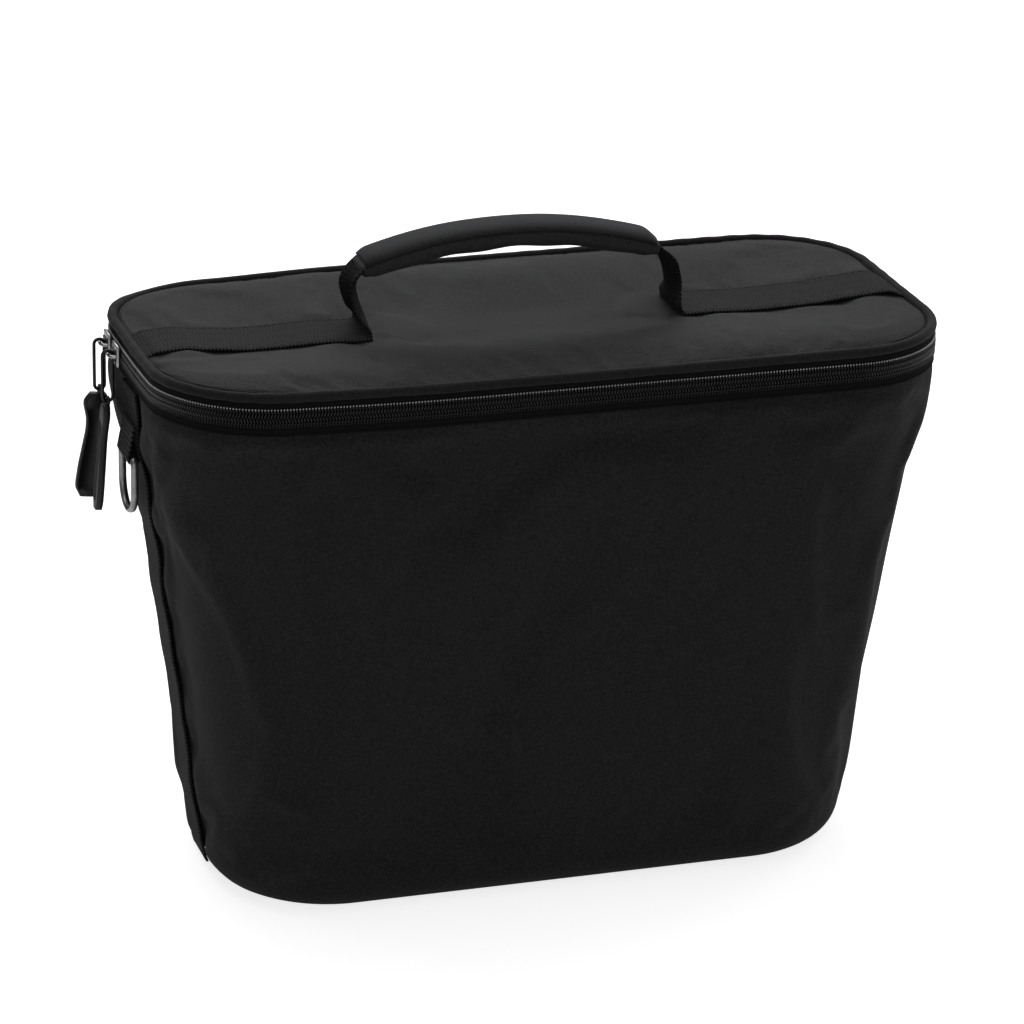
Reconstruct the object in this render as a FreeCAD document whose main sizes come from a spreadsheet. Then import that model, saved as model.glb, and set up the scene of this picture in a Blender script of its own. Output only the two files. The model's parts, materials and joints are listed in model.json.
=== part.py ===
import FreeCAD, Part
import math
import os

import Sketcher
from FreeCAD import Placement, Rotation, Vector

# Zip-top padded carry bag. Millimetres, +Z up, long side along X, front at -Y.
# The origin is the middle of the base's underside.

SIZES = {
    "rim_length": 380.0,  # plan size at the zip
    "rim_depth": 182.0,
    "rim_corner": 54.0,
    "base_length": 314.0,  # plan size of the foot
    "base_depth": 149.0,
    "base_corner": 58.0,
    "base_edge": 13.0,  # rounding where the walls meet the foot
    "seam_height": 246.0,  # top of the padded walls
    "skin": 1.2,  # outer fabric
    "foam": 5.0,
    "lining": 0.8,
    "layer_gap": 0.1,  # air between neighbouring layers
    "board": 2.0,
    "coil_height": 4.0,  # one side of the zip
    "coil_thick": 2.3,
    "coil_inset": 0.3,
    "coil_foot": 249.0,
    "coil_gap": 0.6,  # between the two sides, where a slider's post runs
    "tape_thick": 0.8,
    "zip_end": 84.0,  # how far back the zip runs around the rear corners
    "stop_length": 5.0,
    "binding_tall": 1.8,
    "piping_radius": 2.5,
    "cord_radius": 1.5,
    "piping_height": 262.4,
    "lid_top": 263.6,
    "lid_inset": 5.5,
    "lid_clear": 0.4,  # lid lining above the foot of the upper coil
    "lid_board": 1.5,
    "board_inset": 1.0,
    "strap_width": 34.0,  # handle webbing
    "strap_thick": 1.3,
    "root_half": 78.0,  # handle roots from the middle of the lid
    "strap_end": 183.0,
    "grip_shift": -5.0,  # the soft handle rests a little to the left
    "grip_length": 145.0,
    "grip_width": 26.0,
    "grip_thick": 13.0,
    "grip_top": 312.5,
    "grip_rise": 11.5,
    "core_width": 18.0,  # webbing where it runs through the grip
    "gather_half": 0.8,  # half width of the webbing's gathered foot
    "root_lift": 0.4,  # gathered foot above the sewn webbing
    "side_width": 25.0,  # webbing down each end
    "ring_height": 212.0,  # D-ring's bar
    "ring_half": 13.6,
    "ring_band": 2.2,
    "ring_drop": 29.0,
    "loop_width": 22.0,
    "loop_length": 15.0,
    "slider_size": 11.0,
    "slider_tall": 10.5,
    "slider_face": 1.9,  # outer plate's front, outside the rim face
    "slider_plate": 1.5,
    "slider_back": 3.8,  # inner plate's near side, inside the rim face
    "back_plate": 1.0,
    "post_half": 2.0,
    "bar_out": 5.3,  # bar for the pull ring, outside the rim face
    "bow_half": 3.4,
    "front_slider": 19.6,  # rest position along the left end
    "wire": 1.6,  # pull ring wire
    "ring_reach": 2.4,  # half width of the pull ring, middle of its wire
    "ring_play": 0.35,
    "pull_drop": 22.7,
    "eye_radius": 1.5,
    "eye_band": 1.2,
    "tab_length": 50.0,
    "tab_width": 9.0,
    "tab_thick": 3.4,
}

doc = FreeCAD.newDocument("CarryBag")
sheet = doc.addObject("Spreadsheet::Sheet", "Sizes")
for row, (alias, value) in enumerate(SIZES.items(), start=1):
    sheet.set(f"A{row}", alias)
    sheet.set(f"B{row}", str(value))
    sheet.setAlias(f"B{row}", alias)
probe = doc.addObject("App::FeaturePython", "Probe")
probe.addProperty("App::PropertyFloat", "Value")
doc.recompute()

subparts = []


def val(alias):
    """A driving dimension, read back from the sheet."""
    return float(sheet.get(alias))


def expr(text):
    """An expression on the sheet: every alias gets its sheet name."""
    words = text.replace("(", " ( ").replace(")", " ) ").split()
    return "".join(f"Sizes.{word}" if word in SIZES else word for word in words)


def number(text):
    """The value of an expression written for expr()."""
    probe.setExpression("Value", expr(text))
    probe.recompute()
    return probe.Value


def new_body(name, place=None):
    body = doc.addObject("PartDesign::Body", name)
    body.Label = name
    if place is not None:
        body.Placement = place
    subparts.append(body)
    return body


def new_sketch(body, name, plane="XY_Plane", height=None):
    """An empty sketch on one of the body's own origin planes."""
    sketch = body.newObject("Sketcher::SketchObject", name)
    support = [item for item in body.Origin.OriginFeatures if item.Role == plane][0]
    sketch.AttachmentSupport = [(support, "")]
    sketch.MapMode = "FlatFace"
    if height is not None:
        sketch.setExpression("AttachmentOffset.Base.z", expr(height))
    return sketch


def bind(sketch, index, name, text):
    sketch.renameConstraint(index, name)
    sketch.setExpression(f"Constraints.{name}", expr(text))


def draw_rounded(sketch, tag, length, depth, corner):
    """A rounded rectangle about the origin, fully constrained."""
    half_x = number(f"( {length} ) / 2")
    half_y = number(f"( {depth} ) / 2")
    radius = number(corner)
    flat_x = half_x - radius
    flat_y = half_y - radius
    first = sketch.GeometryCount
    lines = [
        (Vector(-flat_x, -half_y), Vector(flat_x, -half_y)),
        (Vector(half_x, -flat_y), Vector(half_x, flat_y)),
        (Vector(flat_x, half_y), Vector(-flat_x, half_y)),
        (Vector(-half_x, flat_y), Vector(-half_x, -flat_y)),
    ]
    centres = [(flat_x, -flat_y), (flat_x, flat_y), (-flat_x, flat_y), (-flat_x, -flat_y)]
    for side, (start, end) in enumerate(lines):
        sketch.addGeometry(Part.LineSegment(start, end))
        centre = Vector(*centres[side])
        angle = math.radians(90 * side - 90)
        circle = Part.Circle(centre, Vector(0, 0, 1), radius)
        sketch.addGeometry(Part.ArcOfCircle(circle, angle, angle + math.pi / 2))
    for side in range(4):
        line = first + 2 * side
        arc = line + 1
        after = first + (2 * side + 2) % 8
        sketch.addConstraint(Sketcher.Constraint("Tangent", line, 2, arc, 1))
        sketch.addConstraint(Sketcher.Constraint("Tangent", arc, 2, after, 1))
        kind = "Horizontal" if side % 2 == 0 else "Vertical"
        sketch.addConstraint(Sketcher.Constraint(kind, line))
        if side > 0:
            sketch.addConstraint(Sketcher.Constraint("Equal", first + 1, arc))
    bottom, right, top, left = (first + 2 * side for side in range(4))
    dimensions = [
        ("bottom", Sketcher.Constraint("DistanceY", bottom, 1, -1, 1, half_y), f"( {depth} ) / 2"),
        ("right", Sketcher.Constraint("DistanceX", -1, 1, right, 1, half_x), f"( {length} ) / 2"),
        ("top", Sketcher.Constraint("DistanceY", -1, 1, top, 1, half_y), f"( {depth} ) / 2"),
        ("left", Sketcher.Constraint("DistanceX", left, 1, -1, 1, half_x), f"( {length} ) / 2"),
        ("corner", Sketcher.Constraint("Radius", first + 1, radius), corner),
    ]
    for name, constraint, text in dimensions:
        bind(sketch, sketch.addConstraint(constraint), f"{name}_{tag}", text)


def draw_box(sketch, tag, left, right, bottom, top):
    """A rectangle whose four sides are placed from the origin."""
    x0, x1, y0, y1 = (number(text) for text in (left, right, bottom, top))
    corners = [Vector(x0, y0), Vector(x1, y0), Vector(x1, y1), Vector(x0, y1)]
    first = sketch.GeometryCount
    for side in range(4):
        sketch.addGeometry(Part.LineSegment(corners[side], corners[(side + 1) % 4]))
    for side in range(4):
        line = first + side
        after = first + (side + 1) % 4
        sketch.addConstraint(Sketcher.Constraint("Coincident", line, 2, after, 1))
        kind = "Horizontal" if side % 2 == 0 else "Vertical"
        sketch.addConstraint(Sketcher.Constraint(kind, line))
    places = [
        ("left", "DistanceX", first, 1, x0, left),
        ("right", "DistanceX", first + 1, 1, x1, right),
        ("low", "DistanceY", first, 1, y0, bottom),
        ("high", "DistanceY", first + 2, 1, y1, top),
    ]
    for name, kind, geometry, point, distance, text in places:
        index = sketch.addConstraint(Sketcher.Constraint(kind, -1, 1, geometry, point, distance))
        bind(sketch, index, f"{name}_{tag}", text)


def draw_outline(sketch, tag, points):
    """A closed outline of straight lines; each point is a pair of expressions."""
    spots = [Vector(number(across), number(along)) for across, along in points]
    first = sketch.GeometryCount
    count = len(spots)
    for side in range(count):
        sketch.addGeometry(Part.LineSegment(spots[side], spots[(side + 1) % count]))
    for side in range(count):
        after = first + (side + 1) % count
        sketch.addConstraint(Sketcher.Constraint("Coincident", first + side, 2, after, 1))
    for side, (across, along) in enumerate(points):
        for axis, kind, text in (("x", "DistanceX", across), ("y", "DistanceY", along)):
            distance = spots[side].x if axis == "x" else spots[side].y
            constraint = Sketcher.Constraint(kind, -1, 1, first + side, 1, distance)
            bind(sketch, sketch.addConstraint(constraint), f"{axis}{side}_{tag}", text)


def draw_circle(sketch, tag, across, along, radius):
    centre = Vector(number(across), number(along))
    index = sketch.addGeometry(Part.Circle(centre, Vector(0, 0, 1), number(radius)))
    rows = [
        ("radius", Sketcher.Constraint("Radius", index, number(radius)), radius),
        ("across", Sketcher.Constraint("DistanceX", -1, 1, index, 3, centre.x), across),
        ("along", Sketcher.Constraint("DistanceY", -1, 1, index, 3, centre.y), along),
    ]
    for name, constraint, text in rows:
        bind(sketch, sketch.addConstraint(constraint), f"{name}_{tag}", text)


def pad(body, name, sketch, length, both_ways=False):
    feature = body.newObject("PartDesign::Pad", name)
    feature.Profile = sketch
    feature.SideType = "Symmetric" if both_ways else "One side"
    feature.setExpression("Length", expr(length))
    doc.recompute()
    return feature


def cut_through(body, name, sketch):
    """Cuts the sketch's outline right through the body, both ways."""
    feature = body.newObject("PartDesign::Pocket", name)
    feature.Profile = sketch
    feature.SideType = "Symmetric"
    feature.Type = "ThroughAll"
    doc.recompute()
    return feature


def loft(body, name, lower, upper, removing=False):
    """A straight-sided solid from one section through a list of others."""
    kind = "PartDesign::SubtractiveLoft" if removing else "PartDesign::AdditiveLoft"
    feature = body.newObject(kind, name)
    feature.Profile = lower
    feature.Sections = upper
    feature.Ruled = True
    doc.recompute()
    return feature


# The padded tub ---------------------------------------------------------------


def wall(base, rim, height, inset):
    """A plan size of the tapered wall at a height, drawn in on both sides."""
    return f"{base} + ( {rim} - {base} ) * ( {height} ) / seam_height - 2 * ( {inset} )"


def wall_sketch(body, name, height, inset):
    sketch = new_sketch(body, name, height=height)
    corner = f"base_corner + ( rim_corner - base_corner ) * ( {height} ) / seam_height - ( {inset} )"
    length = wall("base_length", "rim_length", height, inset)
    depth = wall("base_depth", "rim_depth", height, inset)
    draw_rounded(sketch, "w", length, depth, corner)
    return sketch


def wall_layer(name, inset, thick, foot, head):
    """A tapered ring: one layer of the padded wall."""
    body = new_body(name)
    inner = f"{inset} + {thick}"
    loft(body, f"{name}_outside", wall_sketch(body, f"{name}_a", foot, inset),
         [wall_sketch(body, f"{name}_b", head, inset)])
    loft(body, f"{name}_inside", wall_sketch(body, f"{name}_c", foot, inner),
         [wall_sketch(body, f"{name}_d", head, inner)], removing=True)
    return body


def trim_plan(body, left, right, bottom, top):
    """Cuts away a box of the plan, through all heights."""
    sketch = new_sketch(body, f"{body.Label}_cut{len(body.Group)}")
    draw_box(sketch, "cut", left, right, bottom, top)
    cut_through(body, f"{body.Label}_trim{len(body.Group)}", sketch)


FAR = "rim_length"  # safely outside every part
EMBED = "0.2"  # how far joined lumps run into each other
BASE_STEPS = 3  # sections through the rounded edge of the base
FOAM_INSET = "skin + layer_gap"
LINING_INSET = "skin + foam + 2 * layer_gap"
FLAT_HALF = "( base_length - 2 * base_corner ) / 2"


def build_walls():
    """Outer fabric in two halves that meet under the end webbing, foam and lining."""
    halves = [("front_panel", "- layer_gap / 2", FAR), ("back_panel", f"- {FAR}", "layer_gap / 2")]
    for name, low, high in halves:
        body = wall_layer(name, "0", "skin", "base_edge + layer_gap", "seam_height")
        trim_plan(body, f"- {FAR}", FAR, low, high)
    foot = "base_edge + 2 * layer_gap"
    for name, low, high in (("front_foam", "0", FAR), ("back_foam", f"- {FAR}", "0")):
        body = wall_layer(name, FOAM_INSET, "foam", foot, "seam_height")
        trim_plan(body, f"- {FAR}", FAR, low, high)
        trim_plan(body, f"- {FAR}", f"- ( {FLAT_HALF} )", f"- {FAR}", FAR)
        trim_plan(body, FLAT_HALF, FAR, f"- {FAR}", FAR)
    ends = [("left_foam", f"- ( {FLAT_HALF} ) - layer_gap", FAR),
            ("right_foam", f"- {FAR}", f"{FLAT_HALF} + layer_gap")]
    for name, low, high in ends:
        body = wall_layer(name, FOAM_INSET, "foam", foot, "seam_height")
        trim_plan(body, low, high, f"- {FAR}", FAR)
    wall_layer("inner_lining", LINING_INSET, "lining", "skin + board + foam + 4 * layer_gap", "seam_height")


def build_base():
    """Tray-shaped outer base with a rounded edge, then board, foam and lining."""
    body = new_body("base_panel")
    for part, skin, removing in (("outside", "0", False), ("inside", "skin", True)):
        sections = []
        for step in range(BASE_STEPS + 1):
            angle = math.radians(90 * step / BASE_STEPS)
            radius = f"( base_edge - {skin} )"
            height = f"base_edge - {radius} * {math.cos(angle):.5f}"
            inset = f"base_edge - {radius} * {math.sin(angle):.5f}"
            sections.append(wall_sketch(body, f"base_{part}{step}", height, inset))
        loft(body, f"base_{part}", sections[0], sections[1:], removing)
    layers = [
        ("base_board", "skin + layer_gap", "board", "base_edge + layer_gap"),
        ("base_foam", "skin + board + 2 * layer_gap", "foam", "base_edge + layer_gap"),
        ("base_lining", "skin + board + foam + 3 * layer_gap", "lining", "base_edge + layer_gap"),
    ]
    for name, height, thick, inset in layers:
        layer = new_body(name)
        sketch = wall_sketch(layer, f"{name}_plan", height, inset)
        pad(layer, f"{name}_pad", sketch, thick)


# Rim, zip and lid -------------------------------------------------------------


def rim_loop(sketch, tag, inset):
    draw_rounded(sketch, tag, f"rim_length - 2 * ( {inset} )", f"rim_depth - 2 * ( {inset} )",
                 f"rim_corner - ( {inset} )")


def rim_ring(name, inset, thick, foot, tall):
    """A strip that follows the rim."""
    body = new_body(name)
    sketch = new_sketch(body, f"{name}_plan", height=foot)
    rim_loop(sketch, "out", inset)
    rim_loop(sketch, "in", f"{inset} + {thick}")
    pad(body, f"{name}_pad", sketch, tall)
    return body


def lid_slab(name, inset, foot, tall):
    body = new_body(name)
    sketch = new_sketch(body, f"{name}_plan", height=foot)
    rim_loop(sketch, "out", inset)
    pad(body, f"{name}_pad", sketch, tall)
    return body


TAPE_INSET = "coil_inset + coil_thick + layer_gap"
SPLIT = "coil_foot + coil_height"
UPPER = f"{SPLIT} + coil_gap"


def build_zip():
    """Both sides of the coil zip and its tapes, open at the hinge."""
    strips = [
        ("zip_teeth_lower", "coil_inset", "coil_thick", "coil_foot", "coil_height"),
        ("zip_teeth_upper", "coil_inset", "coil_thick", UPPER, "coil_height"),
        ("zip_tape_lower", TAPE_INSET, "tape_thick", "seam_height + layer_gap",
         f"{SPLIT} - seam_height - layer_gap"),
        ("zip_tape_upper", TAPE_INSET, "tape_thick", UPPER,
         f"piping_height - piping_radius - layer_gap - ( {UPPER} )"),
    ]
    for name, inset, thick, foot, tall in strips:
        body = rim_ring(name, inset, thick, foot, tall)
        trim_plan(body, f"- {FAR}", FAR, "zip_end", FAR)
    for name, side in (("zip_stop_left", -1), ("zip_stop_right", 1)):
        build_stop(name, side)


def build_stop(name, side):
    """A moulded stop that clips on the lower tape at each end of the zip."""
    body = rim_ring(name, f"{TAPE_INSET} + tape_thick + layer_gap", "coil_thick", "coil_foot", "coil_height")
    trim_plan(body, f"- {FAR}", FAR, f"- {FAR}", "zip_end - stop_length")
    trim_plan(body, f"- {FAR}", FAR, "zip_end - layer_gap", FAR)
    if side < 0:
        trim_plan(body, "0", FAR, f"- {FAR}", FAR)
    else:
        trim_plan(body, f"- {FAR}", "0", f"- {FAR}", FAR)


def build_rim():
    """Binding over the raw top edge of the wall, and the fabric hinge at the back."""
    inset = f"{TAPE_INSET} + tape_thick + layer_gap"
    rim_ring("rim_binding", inset, "skin + foam + lining - tape_thick - coil_thick",
             "seam_height + layer_gap", "binding_tall")
    hinge = new_body("hinge_tape")
    sketch = new_sketch(hinge, "hinge_plan", height="seam_height + layer_gap")
    half = "( rim_length - 2 * rim_corner ) / 2"
    near = f"rim_depth / 2 - ( {TAPE_INSET} ) + layer_gap"
    draw_box(sketch, "plan", f"- {half}", half, near, "rim_depth / 2")
    pad(hinge, "hinge_pad", sketch, f"{SPLIT} - seam_height - layer_gap")


def build_lid():
    """Padded lid: lining, board, foam and fabric, with a corded piping round the edge."""
    foot = f"{UPPER} + lid_clear"
    top = "lid_top - skin"
    lid_slab("lid_lining", "lid_inset", foot, "lining")
    lid_slab("lid_board", "lid_inset + board_inset", f"{foot} + lining + layer_gap", "lid_board")
    foam_foot = f"{foot} + lining + lid_board + 2 * layer_gap"
    lid_slab("lid_foam", "lid_inset", foam_foot, f"{top} - layer_gap - ( {foam_foot} )")
    lid_slab("lid_cover", "lid_inset - layer_gap", top, "skin")
    for name, outer, inner in (("lid_piping", "piping_radius", "cord_radius + layer_gap"),
                               ("piping_cord", "cord_radius", None)):
        build_piping(name, outer, inner)
    for name, side in (("lid_strap_left", -1), ("lid_strap_right", 1)):
        build_lid_strap(name, side)


def build_piping(name, outer, inner):
    """A round section carried along the lid's edge; hollow when inner is given."""
    body = new_body(name)
    sweep_round(body, "AdditivePipe", outer)
    if inner is not None:
        sweep_round(body, "SubtractivePipe", inner)


def sweep_round(body, kind, radius):
    path = new_sketch(body, f"{body.Label}_{kind}_path", height="piping_height")
    rim_loop(path, "path", "piping_radius")
    section = new_sketch(body, f"{body.Label}_{kind}_section", plane="YZ_Plane")
    draw_circle(section, "round", "piping_radius - rim_depth / 2", "piping_height", radius)
    sweep = body.newObject(f"PartDesign::{kind}", f"{body.Label}_{kind}_sweep")
    sweep.Profile = section
    sweep.Spine = path
    sweep.Transition = "Transformed"
    doc.recompute()


def build_lid_strap(name, side):
    """The sewn length of the handle webbing, flat on the lid."""
    body = new_body(name)
    sketch = new_sketch(body, f"{name}_plan", height="lid_top + layer_gap")
    near, far = ("root_half", "strap_end") if side > 0 else ("- strap_end", "- root_half")
    draw_box(sketch, "plan", near, far, "- strap_width / 2", "strap_width / 2")
    pad(body, f"{name}_pad", sketch, "strap_thick")


# Handle -----------------------------------------------------------------------

GRIP_HALF = "grip_length / 2"
ROOT_TOP = "lid_top + 2 * layer_gap + strap_thick"
ARCH_RADIUS = f"( {GRIP_HALF} * {GRIP_HALF} + grip_rise * grip_rise ) / ( 2 * grip_rise )"
ARCH_CENTRE = f"grip_top - grip_thick / 2 - {ARCH_RADIUS}"


def arch_layer(name, half_thick, width, hollow=None):
    """A slice of a ring about the arch centre, cut to the grip's length."""
    body = new_body(name)
    radius = f"{ARCH_RADIUS} + {half_thick}"
    inner = f"{ARCH_RADIUS} - ( {half_thick} )"
    sketch = new_sketch(body, f"{name}_side", plane="XZ_Plane")
    draw_circle(sketch, "out", "grip_shift", ARCH_CENTRE, radius)
    draw_circle(sketch, "in", "grip_shift", ARCH_CENTRE, inner)
    pad(body, f"{name}_pad", sketch, width, both_ways=True)
    if hollow is not None:
        hollow_thick, hollow_width = hollow
        space = new_sketch(body, f"{name}_space", plane="XZ_Plane")
        draw_circle(space, "out", "grip_shift", ARCH_CENTRE, f"{ARCH_RADIUS} + {hollow_thick}")
        draw_circle(space, "in", "grip_shift", ARCH_CENTRE, f"{ARCH_RADIUS} - ( {hollow_thick} )")
        groove = body.newObject("PartDesign::Pocket", f"{name}_hollow")
        groove.Profile = space
        groove.SideType = "Symmetric"
        groove.setExpression("Length", expr(hollow_width))
        doc.recompute()
    return body


def trim_arch(body, shorten):
    """Keeps the top of the ring, between the grip's two ends."""
    trims = [
        (f"- 4 * {FAR}", f"4 * {FAR}", f"- 4 * {FAR}", ARCH_CENTRE),
        (f"- 4 * {FAR}", f"grip_shift - {GRIP_HALF} + {shorten}", f"- 4 * {FAR}", f"2 * {FAR}"),
        (f"grip_shift + {GRIP_HALF} - {shorten}", f"4 * {FAR}", f"- 4 * {FAR}", f"2 * {FAR}"),
    ]
    for index, (left, right, bottom, top) in enumerate(trims):
        sketch = new_sketch(body, f"{body.Label}_end{index}", plane="XZ_Plane")
        draw_box(sketch, "cut", left, right, bottom, top)
        cut_through(body, f"{body.Label}_cut{index}", sketch)


def build_handle():
    """Fabric grip rolled round foam, with the webbing through it down to the lid."""
    grip = arch_layer("handle_grip", "grip_thick / 2", "grip_width",
                      ("grip_thick / 2 - skin", "grip_width - 2 * skin"))
    trim_arch(grip, "0")
    foam_width = "grip_width - 2 * skin - 2 * layer_gap"
    foam = arch_layer("handle_foam", "grip_thick / 2 - skin - layer_gap", foam_width,
                      ("strap_thick / 2 + layer_gap", "core_width + 2 * layer_gap"))
    trim_arch(foam, "skin")
    strap = arch_layer("handle_strap", "strap_thick / 2", "core_width")
    trim_arch(strap, "- strap_thick / 2")
    for side, word in ((-1, "left"), (1, "right")):
        add_riser(strap, side, word)


def add_riser(strap, side, word):
    """Webbing from the grip's end down to its stitched root, gathered at the root."""
    sign = "-" if side < 0 else ""
    root = f"{sign} ( root_half - layer_gap )"
    end = f"grip_shift + {sign} ( {GRIP_HALF} + 3 * layer_gap )"
    thick = f"{sign} strap_thick"
    foot = f"{ROOT_TOP} + root_lift"
    head = "grip_top - grip_thick / 2 - grip_rise"
    sketch = new_sketch(strap, f"riser_{word}", plane="XZ_Plane")
    top = f"{head} + strap_thick / 2"
    outline = [(f"{root} - ( {thick} )", foot), (root, foot), (f"{end} + {thick}", top), (end, top)]
    draw_outline(sketch, "side", outline)
    pad(strap, f"riser_pad_{word}", sketch, "strap_width", both_ways=True)
    gather = new_sketch(strap, f"gather_{word}", plane="YZ_Plane")
    wide = "strap_width / 2 + strap_thick"
    flare = f"{foot} + strap_width / 2"
    draw_outline(gather, "a", [("gather_half", foot), (wide, foot), (wide, flare)])
    draw_outline(gather, "b", [("- gather_half", foot), (f"- ( {wide} )", flare), (f"- ( {wide} )", foot)])
    cut_through(strap, f"gather_cut_{word}", gather)


# Webbing and rings on the ends -------------------------------------------------


def end_x(height, outside):
    """Distance of the end wall's face from the middle at a height, plus a layer."""
    return f"( base_length + ( rim_length - base_length ) * ( {height} ) / seam_height ) / 2 + {outside}"


def side_outline(side, inner, outer, low, high):
    """A slanted strip on the end wall, as XZ points."""
    sign = "-" if side < 0 else ""
    return [(f"{sign} ( {end_x(low, inner)} )", low), (f"{sign} ( {end_x(low, outer)} )", low),
            (f"{sign} ( {end_x(high, outer)} )", high), (f"{sign} ( {end_x(high, inner)} )", high)]


LOOP_BORE = "ring_band * 0.75"  # clears the corners of the ring's square bar
LOOP_FOOT = "ring_height + 1"
ON_STRAP = "2 * layer_gap + strap_thick"
RING_X = f"{end_x('ring_height + 3', ON_STRAP)} + {LOOP_BORE} + strap_thick"


def build_end(side, word):
    """End webbing, the webbing loop sewn on it and the D-ring held by the loop."""
    sign = "-" if side < 0 else ""
    strap = new_body(f"side_strap_{word}")
    sketch = new_sketch(strap, f"side_strap_{word}_side", plane="XZ_Plane")
    strip = side_outline(side, "layer_gap", "layer_gap + strap_thick", "base_edge + 1", "seam_height - 2")
    draw_outline(sketch, "s", strip)
    pad(strap, f"side_strap_{word}_pad", sketch, "side_width", both_ways=True)

    loop = new_body(f"ring_loop_{word}")
    neck = new_sketch(loop, f"ring_loop_{word}_neck", plane="XZ_Plane")
    doubled = side_outline(side, ON_STRAP, f"{ON_STRAP} + 2 * strap_thick", LOOP_FOOT,
                           f"{LOOP_FOOT} + loop_length")
    draw_outline(neck, "n", doubled)
    pad(loop, f"ring_loop_{word}_neckpad", neck, "loop_width", both_ways=True)
    roll = new_sketch(loop, f"ring_loop_{word}_roll", plane="XZ_Plane")
    centre = f"{sign} ( {RING_X} )"
    draw_circle(roll, "out", centre, "ring_height", f"{LOOP_BORE} + strap_thick")
    pad(loop, f"ring_loop_{word}_rollpad", roll, "loop_width", both_ways=True)
    bore = new_sketch(loop, f"ring_loop_{word}_bore", plane="XZ_Plane")
    draw_circle(bore, "bore", centre, "ring_height", LOOP_BORE)
    cut_through(loop, f"ring_loop_{word}_cut", bore)

    ring = new_body(f"d_ring_{word}")
    place = number(centre)
    ring.Placement = Placement(Vector(place, 0, val("ring_height")), Rotation())
    flat = new_sketch(ring, f"d_ring_{word}_flat", plane="YZ_Plane")
    draw_dee(flat, "out", "ring_half", "ring_band / 2", "ring_drop")
    draw_dee(flat, "in", "ring_half - ring_band", "- ring_band / 2", "ring_drop - ring_band")
    pad(ring, f"d_ring_{word}_pad", flat, "ring_band", both_ways=True)


def draw_dee(sketch, tag, half, top, drop):
    """A D on its back: straight bar on top, half circle below."""
    radius = number(half)
    high = number(top)
    spring = radius - number(drop)
    first = sketch.GeometryCount
    sketch.addGeometry(Part.LineSegment(Vector(-radius, spring), Vector(-radius, high)))
    sketch.addGeometry(Part.LineSegment(Vector(-radius, high), Vector(radius, high)))
    sketch.addGeometry(Part.LineSegment(Vector(radius, high), Vector(radius, spring)))
    circle = Part.Circle(Vector(0, spring), Vector(0, 0, 1), radius)
    sketch.addGeometry(Part.ArcOfCircle(circle, math.pi, 2 * math.pi))
    sketch.addConstraint(Sketcher.Constraint("Coincident", first, 2, first + 1, 1))
    sketch.addConstraint(Sketcher.Constraint("Coincident", first + 1, 2, first + 2, 1))
    sketch.addConstraint(Sketcher.Constraint("Tangent", first + 2, 2, first + 3, 2))
    sketch.addConstraint(Sketcher.Constraint("Tangent", first + 3, 1, first, 1))
    sketch.addConstraint(Sketcher.Constraint("Vertical", first))
    sketch.addConstraint(Sketcher.Constraint("Horizontal", first + 1))
    sketch.addConstraint(Sketcher.Constraint("Vertical", first + 2))
    rows = [
        ("half", Sketcher.Constraint("Radius", first + 3, radius), half),
        ("side", Sketcher.Constraint("DistanceX", first + 1, 1, -1, 1, radius), half),
        ("top", Sketcher.Constraint("DistanceY", -1, 1, first + 1, 1, high), top),
        ("spring", Sketcher.Constraint("DistanceY", -1, 1, first + 3, 3, spring), f"{half} - ( {drop} )"),
    ]
    for name, constraint, text in rows:
        bind(sketch, sketch.addConstraint(constraint), f"{name}_{tag}", text)


# Sliders, pull rings and pull tabs ----------------------------------------------

REAR_SLIDER = "( rim_depth - 2 * rim_corner ) / 2"
ZIP_MIDDLE = f"{SPLIT} + coil_gap / 2"
# Half width of a pull tab as a share of its full width, at distances below its eye
TAB_PROFILE = [(0.34, 1.6), (0.5, 5.0), (0.5, 8.0), (0.34, 13.0), (0.34, 19.0), (0.5, 30.0)]


def build_slider(word, along):
    """Two plates joined by a post between the coils, with a bar for the pull ring."""
    place = Placement(Vector(-val("rim_length") / 2, number(along), number(ZIP_MIDDLE)), Rotation())
    slider = new_body(f"{word}_slider", place)
    half = "slider_size / 2"
    plates = new_sketch(slider, f"{word}_plates", plane="XY_Plane")
    draw_box(plates, "outer", "- slider_face", "slider_plate - slider_face", f"- {half}", half)
    draw_box(plates, "inner", "slider_back", "slider_back + back_plate",
             f"back_plate - {half}", f"{half} - back_plate")
    pad(slider, f"{word}_plates_pad", plates, "slider_tall", both_ways=True)
    post = new_sketch(slider, f"{word}_post", plane="XY_Plane")
    draw_box(post, "post", f"slider_plate - slider_face - {EMBED}", f"slider_back + {EMBED}",
             "- post_half", "post_half")
    pad(slider, f"{word}_post_pad", post, "coil_gap - 2 * layer_gap", both_ways=True)
    bow = new_sketch(slider, f"{word}_bow", plane="XY_Plane")
    foot = f"{EMBED} - slider_face"
    bar_in = "wire / 2 - bar_out"
    bar_out = "- wire / 2 - bar_out"
    inside = [(foot, "bow_half"), (bar_in, "bow_half"), (bar_in, "- bow_half"), (foot, "- bow_half")]
    outside = [(foot, "- bow_half - wire"), (bar_out, "- bow_half - wire"),
               (bar_out, "bow_half + wire"), (foot, "bow_half + wire")]
    draw_outline(bow, "bow", inside + outside)
    pad(slider, f"{word}_bow_pad", bow, "wire", both_ways=True)


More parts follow.
